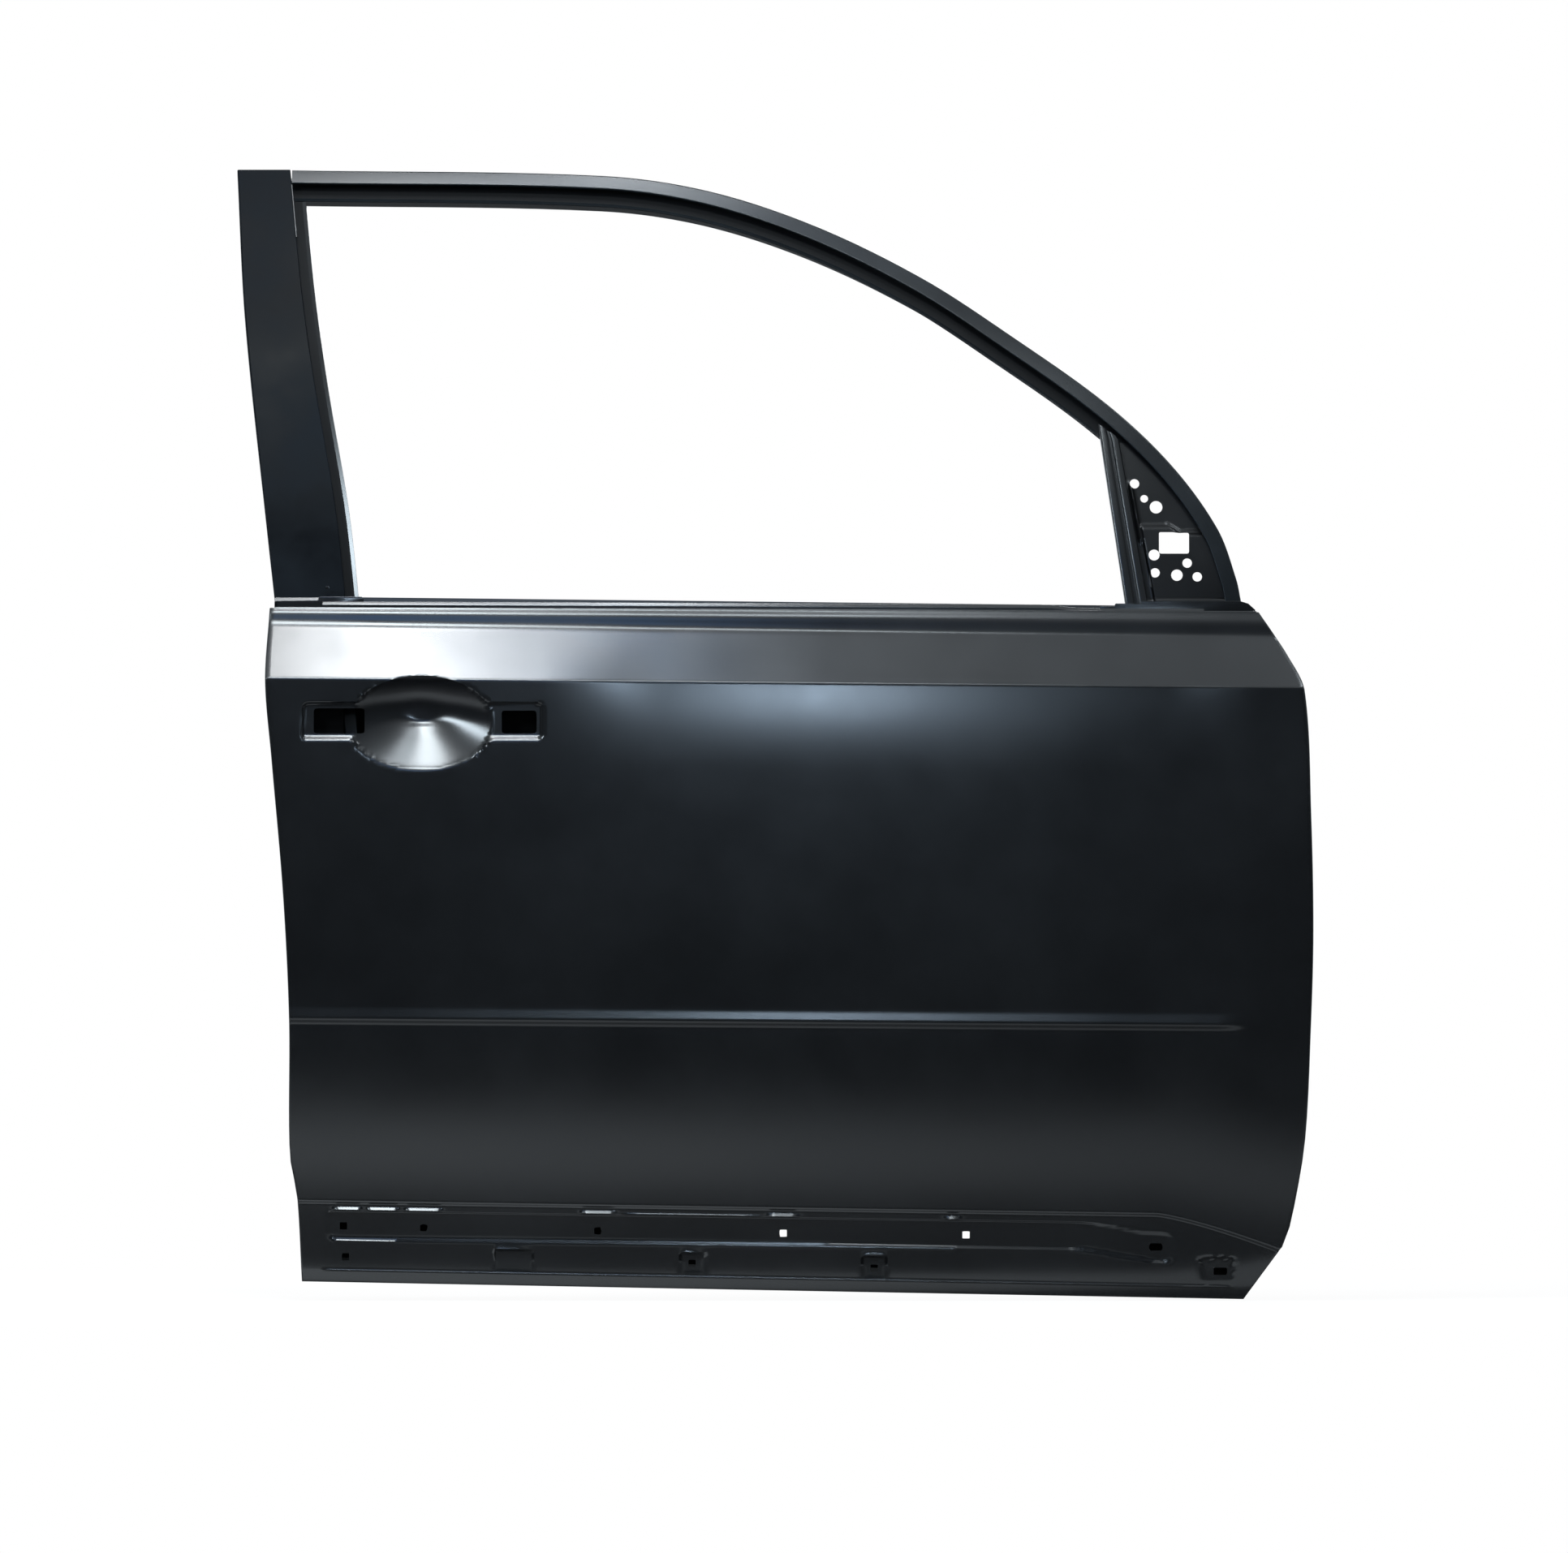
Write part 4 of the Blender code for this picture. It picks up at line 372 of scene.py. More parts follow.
# Handle recess with its oval cup (middle and half sizes in x and z), and the cladding's pockets.
HANDLE = (-1.0234, -0.7710, 0.0391, 0.0808)
HANDLE_DEPTH, HANDLE_CORNER, HANDLE_WALL, HANDLE_SILL = 0.0045, 0.0070, 0.0030, 0.0076
CUP = (-0.8984, 0.0582, 0.0752, 0.0500)
CUP_DEPTH, CUP_APEX_UP, CUP_TIP, CUP_RUN, CUP_STEEPER, CONE_SHARE = 0.0260, 0.008, 0.16, 0.853, 1.2, 0.94
LOW_POCKETS = ((-0.8237, -0.7803, -0.5160, -0.4915), (-0.6290, -0.6000, -0.5185, -0.4947),
               (-0.4395, -0.4105, -0.5230, -0.4985), (-0.0840, -0.0480, -0.5290, -0.5000))
LOW_POCKET_DEPTH, LOW_POCKET_SLOPE, LOW_POCKET_CORNER = 0.0062, 0.25, 0.0030
LONG_POCKET = (-0.9970, -0.1130, -0.0306, 0.0)
LONG_POCKET_DEPTH, LONG_POCKET_CORNER, POCKET_WALL = 0.0030, 0.0060, 0.0022
LIPS = ((-0.9920, -0.9597), (-0.9571, -0.9206), (-0.9172, -0.8755), (-0.7327, -0.6944), (-0.5372, -0.5032),
        (-0.3519, -0.3332))
# A lip's size, the run at each of its ends, and its slope's width, start and foot.
LONG_POCKET_LIP = (0.0026, 0.004, 0.0034, 0.0004, 0.0012)
LOW_POCKET_LIP = (0.0020, 0.004, 0.0026, 0.0004, 0.0012)


def long_pocket_top(x):
    return STEP_TOP - 0.0160 * along(x) - 0.0095 - 0.0110 * ease((x + 0.215) / 0.09)


def lip(x, above, ends, size, run, slope, start, foot):
    """A lip rolled outwards over a pocket's upper edge; above is the height over that edge."""
    reach = ease((x - ends[0]) / run) * ease((ends[1] - x) / run)
    return size * reach * np.clip((start + slope - above) / slope, 0.0, 1.0) * ease((above + 0.0008) / foot)


def ridge(x, above, ends, size):
    return lip(x, above, ends, size, 0.006, size * 1.25, 0.0003, 0.0010)


def cup_depth(x, z, base):
    """Depth of the oval cup: a blunt cone, steeper above, that meets the recess at its rim."""
    cup_x, cup_z, half_x, half_z = CUP
    rho = np.hypot((x - cup_x) / half_x, (z - cup_z) / half_z)
    bowl = np.maximum(1 - rho * rho, 0.0)
    apex = np.hypot((x - cup_x) / half_x, (z - cup_z - CUP_APEX_UP * bowl) / half_z)
    cone = np.clip(1 - (np.hypot(apex, CUP_TIP) - CUP_TIP) / CUP_RUN, 0.0, 1.0)
    upwards = (z - cup_z) / half_z / np.maximum(rho, 0.05)
    cone = 1 - (1 - cone) ** (1 + CUP_STEEPER * ((upwards + 1) / 2) ** 3)
    rim_z = cup_z + (z - cup_z) / np.maximum(rho, 0.05)
    sunk = HANDLE_DEPTH * ease((rim_z - cup_z + half_z) / 0.060) * ease((cup_z + half_z - rim_z) / 0.050)
    middle = bulge(cup_z) + plan(cup_x)
    form = CONE_SHARE * cone + (1 - CONE_SHARE) * bowl ** 0.5
    return rho, middle * bowl + (base + sunk) * (1 - bowl) + CUP_DEPTH * form


def skin_depth(x, z, height):
    """Depth of the finished skin: its profile, the bow along the car, and its pockets."""
    base = rounded_profile(height, x) + plan(x)
    handle = HANDLE_DEPTH * np.minimum(pressed(inside_box(x, z, *HANDLE, HANDLE_CORNER), HANDLE_WALL),
                                       pressed(z - HANDLE[2], HANDLE_SILL))
    above = z - long_pocket_top(x)
    pockets = LONG_POCKET_DEPTH * pressed(inside_box(x, above, *LONG_POCKET, LONG_POCKET_CORNER), POCKET_WALL)
    for pocket in LOW_POCKETS:
        upright_floor = np.maximum(LOW_POCKET_DEPTH - LOW_POCKET_SLOPE * (pocket[3] - z), 0.0)
        pressing = pressed(inside_box(x, z, *pocket, LOW_POCKET_CORNER), POCKET_WALL)
        pockets = np.maximum(pockets, upright_floor * pressing)
    lips = sum(lip(x, above, ends, *LONG_POCKET_LIP) for ends in LIPS)
    lips = lips + sum(lip(x, z - pocket[3], pocket[:2], *LOW_POCKET_LIP) for pocket in LOW_POCKETS[:3])
    lips = lips + ridge(x, above, (-0.6900, -0.5420), 0.0013)
    lips = lips + ridge(x, z - BAND_TOP + FALLS[1] * along(x), (-1.0040, -0.0500), 0.0012)
    surface = base + handle + pockets - lips
    rho, cup = cup_depth(x, z, base)
    return np.where(rho < 1.0, np.maximum(surface, cup), surface)


def depth_at(x, z, height):
    return float(skin_depth(np.array([x]), np.array([z]), np.array([height]))[0])


def lines(low, *bands):
    """Grid lines from low on, over bands of (end, spacing)."""
    result = []
    for high, spacing in bands:
        count = max(1, round((high - low) / spacing))
        result += [low + (high - low) * i / count for i in range(count)]
        low = high
    return np.array(result + [low])


NOMINAL = (-1.062, 0.0345)
columns = lines(NOMINAL[0], (-1.030, 0.0060), (-1.008, 0.0020), (-0.978, 0.0030), (-0.948, 0.0022),
                (-0.845, 0.0030), (-0.812, 0.0022), (-0.766, 0.0028), (-0.740, 0.0060), (-0.690, 0.0036),
                (-0.640, 0.0100), (-0.590, 0.0036), (-0.545, 0.0100), (-0.498, 0.0036), (-0.450, 0.0100),
                (-0.400, 0.0036), (-0.360, 0.0080), (-0.320, 0.0036), (-0.150, 0.0120), (-0.100, 0.0036),
                (-0.030, 0.0046), (NOMINAL[1], 0.0060))
rows = lines(BOTTOM, (BAND_TOP - 0.002, 0.0040), (BAND_TOP + 0.002, 0.0005), (-0.4930, 0.0020),
             (-0.4530, 0.0028), (-0.4453, 0.00055), (STEP_TOP + 0.0025, 0.0008), (LINE_FOOT - 0.003, 0.0180),
             (LINE_TOP + 0.003, 0.0020), (0.0020, 0.0180), (0.0340, 0.0028), (0.0500, 0.0016),
             (0.0760, 0.0026), (0.0830, 0.0014), (CREASE - 0.003, 0.0024), (CREASE + 0.010, 0.0010),
             (SHOULDER - 0.008, 0.0060), (TOP, 0.0016))


def column_x(nominal, z):
    """Columns stand upright over the middle of the door and close in on its edges."""
    rear_margin, front_margin = 0.060, 0.110
    rear = rear_edge(z)
    front = front_edge(z)
    t = (nominal - NOMINAL[0]) / rear_margin
    s = (NOMINAL[1] - nominal) / front_margin
    x = np.where(t < 1.0, rear + (NOMINAL[0] + rear_margin - rear) * t, nominal)
    return np.where(s < 1.0, front - (front - NOMINAL[1] + front_margin) * s, x)


nominal_x, nominal_z = np.meshgrid(columns, rows)
grid_z = nominal_z.copy()
for _ in range(6):
    grid_x = column_x(nominal_x, grid_z)
    grid_z = fallen(nominal_z, grid_x)

# The cup's rim: grid points next to it move on to it, so that its edge is one clean oval.
RIM_REACH, RIM_RADIUS, RIM_TOP = 0.0016, 0.055, 0.104
rim_share = np.hypot((grid_x - CUP[0]) / CUP[2], (grid_z - CUP[1]) / CUP[3])
near = (np.abs(rim_share - 1) * RIM_RADIUS < RIM_REACH) & (grid_z < RIM_TOP)
shift = np.where(near, 1 / rim_share - 1, 0.0)
lifted = (grid_z - CUP[1]) * shift
grid_x = grid_x + (grid_x - CUP[0]) * shift
grid_z, nominal_z = grid_z + lifted, nominal_z + lifted
grid_y = skin_depth(grid_x, grid_z, nominal_z)

# Holes of the skin: the two slots of the handle, the square clip holes and two oblong ones.
CLIP_HALF, OBLONG_HALF = 0.0038, 0.0070
CLIP_HOLES = ((-0.9800, -0.4675), (-0.8960, -0.4692), (-0.7140, -0.4726), (-0.5202, -0.4752),
              (-0.3290, -0.4769), (-0.9780, -0.4998), (-0.6155, -0.5066), (-0.4250, -0.5117))
OBLONG_HOLES = ((-0.1305, -0.4896), (-0.0630, -0.5151))
HOLES = [(-1.0107, -0.9575, 0.0476, 0.0738, 0.0030), (-0.8143, -0.7778, 0.0476, 0.0714, 0.0030)]
for half, corner, places in ((CLIP_HALF, 0.0004, CLIP_HOLES), (OBLONG_HALF, 0.0010, OBLONG_HOLES)):
    HOLES += [(x - half, x + half, z - CLIP_HALF, z + CLIP_HALF, corner) for x, z in places]


def cell_middles(grid):
    return (grid[:-1, :-1] + grid[1:, 1:]) / 2


def on_rim_of(cut):
    """Grid points where some of the cells round them are cut away, but not all."""
    count = np.zeros((cut.shape[0] + 1, cut.shape[1] + 1), int)
    for dk in (0, 1):
        for dj in (0, 1):
            count[dk:dk + cut.shape[0], dj:dj + cut.shape[1]] += cut
    return (count > 0) & (count < 4)


def on_edge(distance, x, z, rounds):
    """Places moved on to the edge of the nearest hole, by the distance inside it."""
    nudge = 1e-5
    for _ in range(rounds):
        d = distance(x, z)
        gx, gz = (distance(x + nudge, z) - d) / nudge, (distance(x, z + nudge) - d) / nudge
        size = np.maximum(gx * gx + gz * gz, 0.25)
        x, z = x - d * gx / size, z - d * gz / size
    return x, z


row_count, column_count = grid_x.shape
kept = np.ones((row_count - 1, column_count - 1), bool)
centre_x, centre_z = cell_middles(grid_x), cell_middles(grid_z)
for hole in HOLES:
    cut = inside_box(centre_x, centre_z, *hole) > 0
    kept &= ~cut
    at = on_rim_of(cut)
    x, z = on_edge(lambda x, z: inside_box(x, z, *hole), grid_x[at], grid_z[at], 4)
    grid_y[at] = skin_depth(x, z, nominal_z[at] + z - grid_z[at])
    grid_x[at], grid_z[at] = x, z

points = np.stack([grid_x, grid_y, grid_z], axis=-1)
points[..., 1] -= HINGE_SEAT_Y
down = np.gradient(points, axis=0)
across = np.gradient(points, axis=1)
normals = np.cross(across, down)
normals /= np.linalg.norm(normals, axis=-1, keepdims=True)

last_row, last_column = row_count - 1, column_count - 1
edge = [(k, 0) for k in range(last_row, 0, -1)] + [(0, j) for j in range(last_column + 1)]
edge += [(k, last_column) for k in range(1, last_row + 1)]
rim = []
for k, j in edge:
    step = np.zeros(3)
    for outer, next_k, next_j in ((j == 0, k, 1), (j == last_column, k, j - 1), (k == 0, 1, j)):
        if outer:
            inward = points[next_k, next_j] - points[k, j]
            step += inward / np.linalg.norm(inward)
    rim.append((points[k, j].copy(), step, normals[k, j]))
for (k, j), (point, step, _) in zip(edge, rim):
    points[k, j] = point + step * HEM_RADIUS


def grid_faces(kept):
    """Faces of the kept cells of a grid, whose points are numbered row by row."""
    wide = kept.shape[1] + 1
    return [(k * wide + j, k * wide + j + 1, (k + 1) * wide + j + 1, (k + 1) * wide + j)
            for k, j in zip(*np.nonzero(kept))]


vertices = [tuple(p) for p in points.reshape(-1, 3)]
faces = grid_faces(kept)


def add_ring(ring, positions):
    start = len(vertices)
    vertices.extend(tuple(p) for p in positions)
    new = list(range(start, start + len(positions)))
    for i in range(len(ring) - 1):
        faces.append((ring[i + 1], ring[i], new[i], new[i + 1]))
    return new


# The hem at both ends and along the foot, and the fold with its inner flange at the window.
FOLD_RADIUS, FOLD_WIDTH, FOLD_FLANGE = 0.0012, 0.0050, (-0.0140, 0.0060)
ring = [k * column_count + j for k, j in edge]
turns = [(1 - math.sin(a), 1 - math.cos(a)) for a in (math.pi * i / 6 for i in range(1, 7))]
for in_share, depth_share in turns + [(HEM_WIDTH / HEM_RADIUS, 2.0)]:
    ring = add_ring(ring, [p + step * HEM_RADIUS * in_share - normal * HEM_RADIUS * depth_share
                           for p, step, normal in rim])
ring = [last_row * column_count + j for j in range(1, last_column)][::-1]
top = points[last_row, 1:last_column][::-1]
quarter = [math.pi * i / 6 for i in range(4)]
fold = [(FOLD_RADIUS * math.sin(a), FOLD_RADIUS * (1 - math.cos(a))) for a in quarter[1:]]
fold += [(FOLD_RADIUS * math.cos(a), FOLD_WIDTH - FOLD_RADIUS + FOLD_RADIUS * math.sin(a)) for a in quarter]
for up, depth in fold + [FOLD_FLANGE]:
    ring = add_ring(ring, [p + np.array((0, depth, up)) for p in top])


def mesh_piece(name, vertices, faces, finish):
    mesh = bpy.data.meshes.new(name)
    mesh.from_pydata(vertices, [], faces)
    mesh.materials.append(finish)
    mesh.shade_smooth()
    return placed(name, mesh)


def plain_mesh(piece):
    """The piece with its modifiers worked into its mesh."""
    graph = bpy.context.evaluated_depsgraph_get()
    mesh = bpy.data.meshes.new_from_object(piece.evaluated_get(graph))
    piece.modifiers.clear()
    piece.data = mesh


def thickened(piece, thickness, sharp_from, even):
    """The surface turned into sheet, with edges that look sharp from an angle in degrees."""
    sheet = piece.modifiers.new("sheet", "SOLIDIFY")
    sheet.thickness = thickness
    sheet.offset = -1.0
    sheet.use_quality_normals = even
    plain_mesh(piece)
    piece.data.set_sharp_from_angle(angle=math.radians(sharp_from))


skin_primer = primer("skin_primer", 0.215, (0.0030, 0.0034, 0.0040), (0.0050, 0.0056, 0.0064), 0.025,
                     bump=0.000003)
skin = mesh_piece("door_skin", vertices, faces, skin_primer)
thickened(skin, SKIN_SHEET, 42, True)
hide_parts("outer_panel")
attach(skin, "root")

# Header of the window frame: a roll-formed rail along the roof side, 1.2 mm steel.
# Its outer band, its glass channel and the channel's lip are one strip, bent and cut level at the foot.
FRAME_SHEET = 0.0012
FRAME_BELT_Y = 0.0620
FRAME_BELT_Z = 0.180
FRAME_RADIUS = 1.400
FRAME_TOP_Z = 0.6410
ARC_Y = FRAME_BELT_Y + FRAME_RADIUS * math.cos(math.radians(12.0))
ARC_Z = FRAME_BELT_Z - FRAME_RADIUS * math.sin(math.radians(12.0))
HEADER_LINE = ((-1.0367, 0.6410), (-0.7110, 0.6350), (-0.5990, 0.6188), (-0.4860, 0.5814),
               (-0.3740, 0.5262), (-0.2839, 0.4675), (-0.1810, 0.3936), (-0.1139, 0.3298),
               (-0.0655, 0.2627), (-0.0460, 0.2100), (-0.0408, 0.1853))
BAND_WIDTH = 0.0165
BAND_HEM = 0.0028
CHANNEL_DEPTH = 0.0145
CHANNEL_LEG = 0.0275
CHANNEL_LIP = 0.0040
BOX_DEPTH = 0.0400
HEADER_STEPS = 10
LEG_TRIM, LEG_TRIM_FROM = 0.0085, -0.170


def arc_length(z):
    """Distance round the glass cylinder at height z."""
    return FRAME_RADIUS * math.asin((z - ARC_Z) / FRAME_RADIUS)


def arc_height(s):
    return ARC_Z + FRAME_RADIUS * math.sin(s / FRAME_RADIUS)


def frame_point(x, s, depth):
    """A place on the frame: x, distance round the glass cylinder, and depth into the cabin."""
    radius = FRAME_RADIUS - depth
    angle = s / FRAME_RADIUS
    return (x, ARC_Y - radius * math.cos(angle) + float(plan(x)) - HINGE_SEAT_Y,
            ARC_Z + radius * math.sin(angle))


def rounded_line(line, radius, steps):
    """The bent line with each of its corners turned into an arc."""
    result = [line[0]]
    for before, corner, after in zip(line, line[1:], line[2:]):
        a, b = Vector(before) - Vector(corner), Vector(after) - Vector(corner)
        half = (math.pi - a.angle(b)) / 2
        reach = min(radius * math.tan(half), a.length * 0.45, b.length * 0.45)
        start, end = a.normalized() * reach, b.normalized() * reach
        for i in range(steps + 1):
            t = i / steps
            place = start * (1 - t) ** 2 + end * t * t
            result.append((corner[0] + place.x, corner[1] + place.y))
    result.append(line[-1])
    return result


def sheet_loop(line, thickness):
    """Closed outline of a bent strip: the line, and the line offset to its left."""
    back = []
    for i, point in enumerate(line):
        sides = []
        for a, b in ((i - 1, i), (i, i + 1)):
            if a >= 0 and b < len(line):
                dx, dy = line[b][0] - line[a][0], line[b][1] - line[a][1]
                size = math.hypot(dx, dy)
                sides.append((-dy / size, dx / size))
        nx, ny = sum(s[0] for s in sides) / len(sides), sum(s[1] for s in sides) / len(sides)
        scale = thickness / (nx * nx + ny * ny)
        back.append((point[0] + nx * scale, point[1] + ny * scale))
    return list(line) + back[::-1]


def strip(line, corner, steps=4, thickness=FRAME_SHEET):
    """Closed outline of a bent sheet with rounded corners."""
    return sheet_loop(rounded_line(line, corner, steps), thickness)


def lofted(name, sections, finish):
    """A closed strip through loops of equal length, with capped ends."""
    count = len(sections[0])
    vertices = [p for section in sections for p in section]
    faces = []
    for k in range(len(sections) - 1):
        for i in range(count):
            n = (i + 1) % count
            faces.append((k * count + i, k * count + n, (k + 1) * count + n, (k + 1) * count + i))
    faces += [tuple(range(count)), tuple(range((len(sections) - 1) * count, len(sections) * count))]
    made = mesh_piece(name, vertices, faces, finish)
    form = bmesh.new()
    form.from_mesh(made.data)
    bmesh.ops.recalc_face_normals(form, faces=form.faces)
    form.to_mesh(made.data)
    form.free()
    made.data.set_sharp_from_angle(angle=math.radians(36))
    flat_bands = made.modifiers.new("flat_bands", "WEIGHTED_NORMAL")
    flat_bands.keep_sharp = True
    flat_bands.weight = 90
    plain_mesh(made)
    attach(made, "root")
    return made


def header_path(start_x, foot_z):
    """Stations of the header along the roof side: (x, distance round the cylinder)."""
    lengths = [0.0, *np.cumsum([math.dist(a, b) for a, b in zip(HEADER_LINE, HEADER_LINE[1:])])]
    along_line = np.concatenate([np.linspace(a, b, HEADER_STEPS, endpoint=False)
                                 for a, b in zip(lengths, lengths[1:])] + [lengths[-1:]])
    xs, zs = (cubic([(s, p[i]) for s, p in zip(lengths, HEADER_LINE)], along_line) for i in (0, 1))
    path = [(float(x), float(z)) for x, z in zip(xs, zs) if z > foot_z + 0.0015]
    if start_x < HEADER_LINE[0][0]:
        path.insert(0, (start_x, HEADER_LINE[0][1]))
    path.append((float(cubic([(-z, x) for x, z in HEADER_LINE[-5:]], -foot_z)), foot_z))
    return [(x, arc_length(z)) for x, z in path]


def swept(path, outline):
    """Sections of an outline (distance inwards, depth) along a frame path, cut level at its foot.
    In front of the division bar, where no glass runs, the channel's leg is narrower."""
    sections = []
    for i, (x, s) in enumerate(path):
        ahead, behind = path[min(i + 1, len(path) - 1)], path[max(i - 1, 0)]
        size = math.dist(ahead, behind)
        nx, ns = (ahead[1] - behind[1]) / size, -(ahead[0] - behind[0]) / size
        if i == len(path) - 1:
            nx, ns = 1 / nx, 0.0
        trim = LEG_TRIM * float(ease((x - LEG_TRIM_FROM) / 0.045))
        section = []
        for n, d in outline:
            n -= trim * min(max((n - 0.0120) / 0.0100, 0.0), 1.0) * (d > 0.006)
            section.append(frame_point(x + nx * n, s + ns * n, d))
        sections.append(section)
    return sections


rail_primer = primer("rail_primer", 0.21, (0.0030, 0.0035, 0.0042), (0.0052, 0.0060, 0.0070), 0.03)
# Channel primer: a darker copy of the rail's primer that barely mirrors, painted shade for the inside of the
# deep glass channel.
channel_shade_primer = primer("channel_shade_primer", 0.62, (0.0022, 0.0024, 0.0028), (0.0040, 0.0043, 0.0048), 0.05,
                        specular=0.10)


def shade_channel_inside(piece, stations, first, last):
    """Gives the channel primer, the painted shade of the deep channel, to the faces between two points of the
    strip's outline.
    """
    piece.data.materials.append(channel_shade_primer)
    count = len(piece.data.vertices) // stations
    for face in piece.data.polygons:
        steps = [i % count for i in face.vertices]
        if len(steps) == 4 and first <= min(steps) and max(steps) <= last:
            face.material_index = 1


header_primer = primer("header_primer", 0.24, (0.0034, 0.0046, 0.0058), (0.0060, 0.0082, 0.0100), 0.03,
                       specular=0.27)
band = [(CHANNEL_LEG + CHANNEL_LIP, CHANNEL_DEPTH - 0.001), (CHANNEL_LEG, CHANNEL_DEPTH),
        (0.0, CHANNEL_DEPTH), (0.0, 0.0), (BAND_WIDTH, 0.0), (BAND_WIDTH, BAND_HEM)]
path = header_path(HEADER_LINE[0][0], HEADER_LINE[-1][1])
header = lofted("window_header", swept(path, strip(band, 0.0020)), header_primer)
# The inside of the header's glass channel gets the painted shade.
shade_channel_inside(header, len(path), 22, 40)
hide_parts("frame_header_outer")

# Header box: the inner half of the rail, a hat section spot welded behind the glass channel.
seat = CHANNEL_DEPTH + SHEET_GAP
back = BOX_DEPTH - FRAME_SHEET
lower = CHANNEL_LEG - 0.0045
hat = [(0.0015, seat), (0.0045, seat), (0.0065, back), (lower - 0.0030, back), (lower - 0.0010, seat),
       (CHANNEL_LEG, seat)]
box_path = header_path(-1.0880, 0.1945)
header_box = lofted("header_box", swept(box_path, strip(hat, 0.0022)), rail_primer)
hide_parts("frame_header_inner")

# Rear upright: a wide flat cover, the glass channel behind its front edge and a closed box behind both.
# The channel runs on below the window as the glass guide. All are 1.2 mm steel, spot welded.
POST_REAR = ((0.1870, -1.0523), (0.2700, -1.0617), (0.4862, -1.0852), (0.6410, -1.0944))
POST_FRONT = ((-0.2000, -0.9400), (0.1925, -0.9785), (0.2856, -0.9890), (0.4114, -1.0107),
              (0.5117, -1.0252), (0.6410, -1.0385))
POST_FOOT_Z = 0.1870
MOUTH, CHANNEL_BACK = 0.0100, 0.0150
CHANNEL_STATIONS = 44
behind_cover = FRAME_SHEET + SHEET_GAP
under_header = arc_length(FRAME_TOP_Z) - CHANNEL_LEG - CHANNEL_LIP - 0.0006


def upright(line_at, foot_z, top_s, stations, corner):
    """Sections of a strip up the rear post; line_at gives its bent line from the post's two edges."""
    sections = []
    for s in np.linspace(arc_length(foot_z), top_s, stations):
        z = arc_height(s)
        front = float(cubic(POST_FRONT, z))
        rear = float(cubic(POST_REAR, max(z, POST_FOOT_Z)))
        sections.append([frame_point(x, s, d) for x, d in strip(line_at(rear, front), corner)])
    return sections


brushed_primer = primer("brushed_primer", 0.38, (0.0012, 0.0016, 0.0022), (0.0060, 0.0082, 0.0108), 0.14,
                        specular=0.03)
cover = lofted("rear_post_cover", upright(
    lambda rear, front: [(rear, 0.0135), (rear, 0.0), (front, 0.0), (front, BAND_HEM)],
    POST_FOOT_Z, arc_length(FRAME_TOP_Z), 30, 0.0019), brushed_primer)
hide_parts("frame_b_post_outer")
channel = lofted("rear_glass_channel", upright(
    lambda rear, front: [(front + MOUTH + CHANNEL_LIP, CHANNEL_DEPTH - 0.001), (front + MOUTH, CHANNEL_DEPTH),
                         (front - CHANNEL_BACK, CHANNEL_DEPTH), (front - CHANNEL_BACK, behind_cover),
                         (front - behind_cover, behind_cover)],
    -0.2000, under_header, CHANNEL_STATIONS, 0.0019), rail_primer)
# The inside of the rear channel gets the painted shade.
shade_channel_inside(channel, CHANNEL_STATIONS, 17, 30)
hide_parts("glass_channel_rear")
post_box = lofted("rear_post_box", upright(
    lambda rear, front: [(rear + 2 * behind_cover, 0.00675), (rear + 2 * behind_cover, back),
                         (front - CHANNEL_BACK, back), (front - CHANNEL_BACK + 0.0040, seat),
                         (front + MOUTH, seat)],
    0.2015, under_header, 28, 0.0022), rail_primer)
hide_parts("frame_b_post_inner")

# Division bar: a narrow U channel with two pressed ribs, between the drop glass and the mirror corner.
# Its top is mitred to the header and its foot runs down inside the door.
BAR_FOOT_Z, BAR_TOP_Z = -0.020, 0.3719
BAR_OUT, BAR_BACK, BAR_BEAD = 0.0020, 0.0118, 0.0016
BAR_REAR_X, BAR_LEAN = -0.1605, 0.0283
BAR_WIDTH, BAR_TAPER, BAR_TOP_MITRE = 0.0215, 0.0050, 0.75
BAR_RIBS = ((0.30, 0.0), (0.42, BAR_BEAD), (0.60, BAR_BEAD), (0.72, 0.0))


def up_bar(z):
    return (z - FRAME_BELT_Z) / (BAR_TOP_Z - FRAME_BELT_Z)


def bar_rear_x(z):
    return BAR_REAR_X - BAR_LEAN * up_bar(z)


def bar_width(z):
    return BAR_WIDTH - BAR_TAPER * min(max(up_bar(z), 0.0), 1.0)


sections = []
for z in np.linspace(BAR_FOOT_Z, BAR_TOP_Z, 26):
    wide = bar_width(z)
    ribs = [(wide * share, BAR_OUT + deep) for share, deep in BAR_RIBS]
    line = [(0.0, BAR_BACK), (0.0, BAR_OUT)] + ribs + [(wide, BAR_OUT), (wide, BAR_BACK)]
    mitre = BAR_TOP_MITRE if z == BAR_TOP_Z else 0.0
    sections.append([frame_point(bar_rear_x(z) + m, arc_length(z) - mitre * m, d)
                     for m, d in strip(line[::-1], 0.0016, 3)])
bar = lofted("window_division_bar", sections, rail_primer)
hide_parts("division_bar")

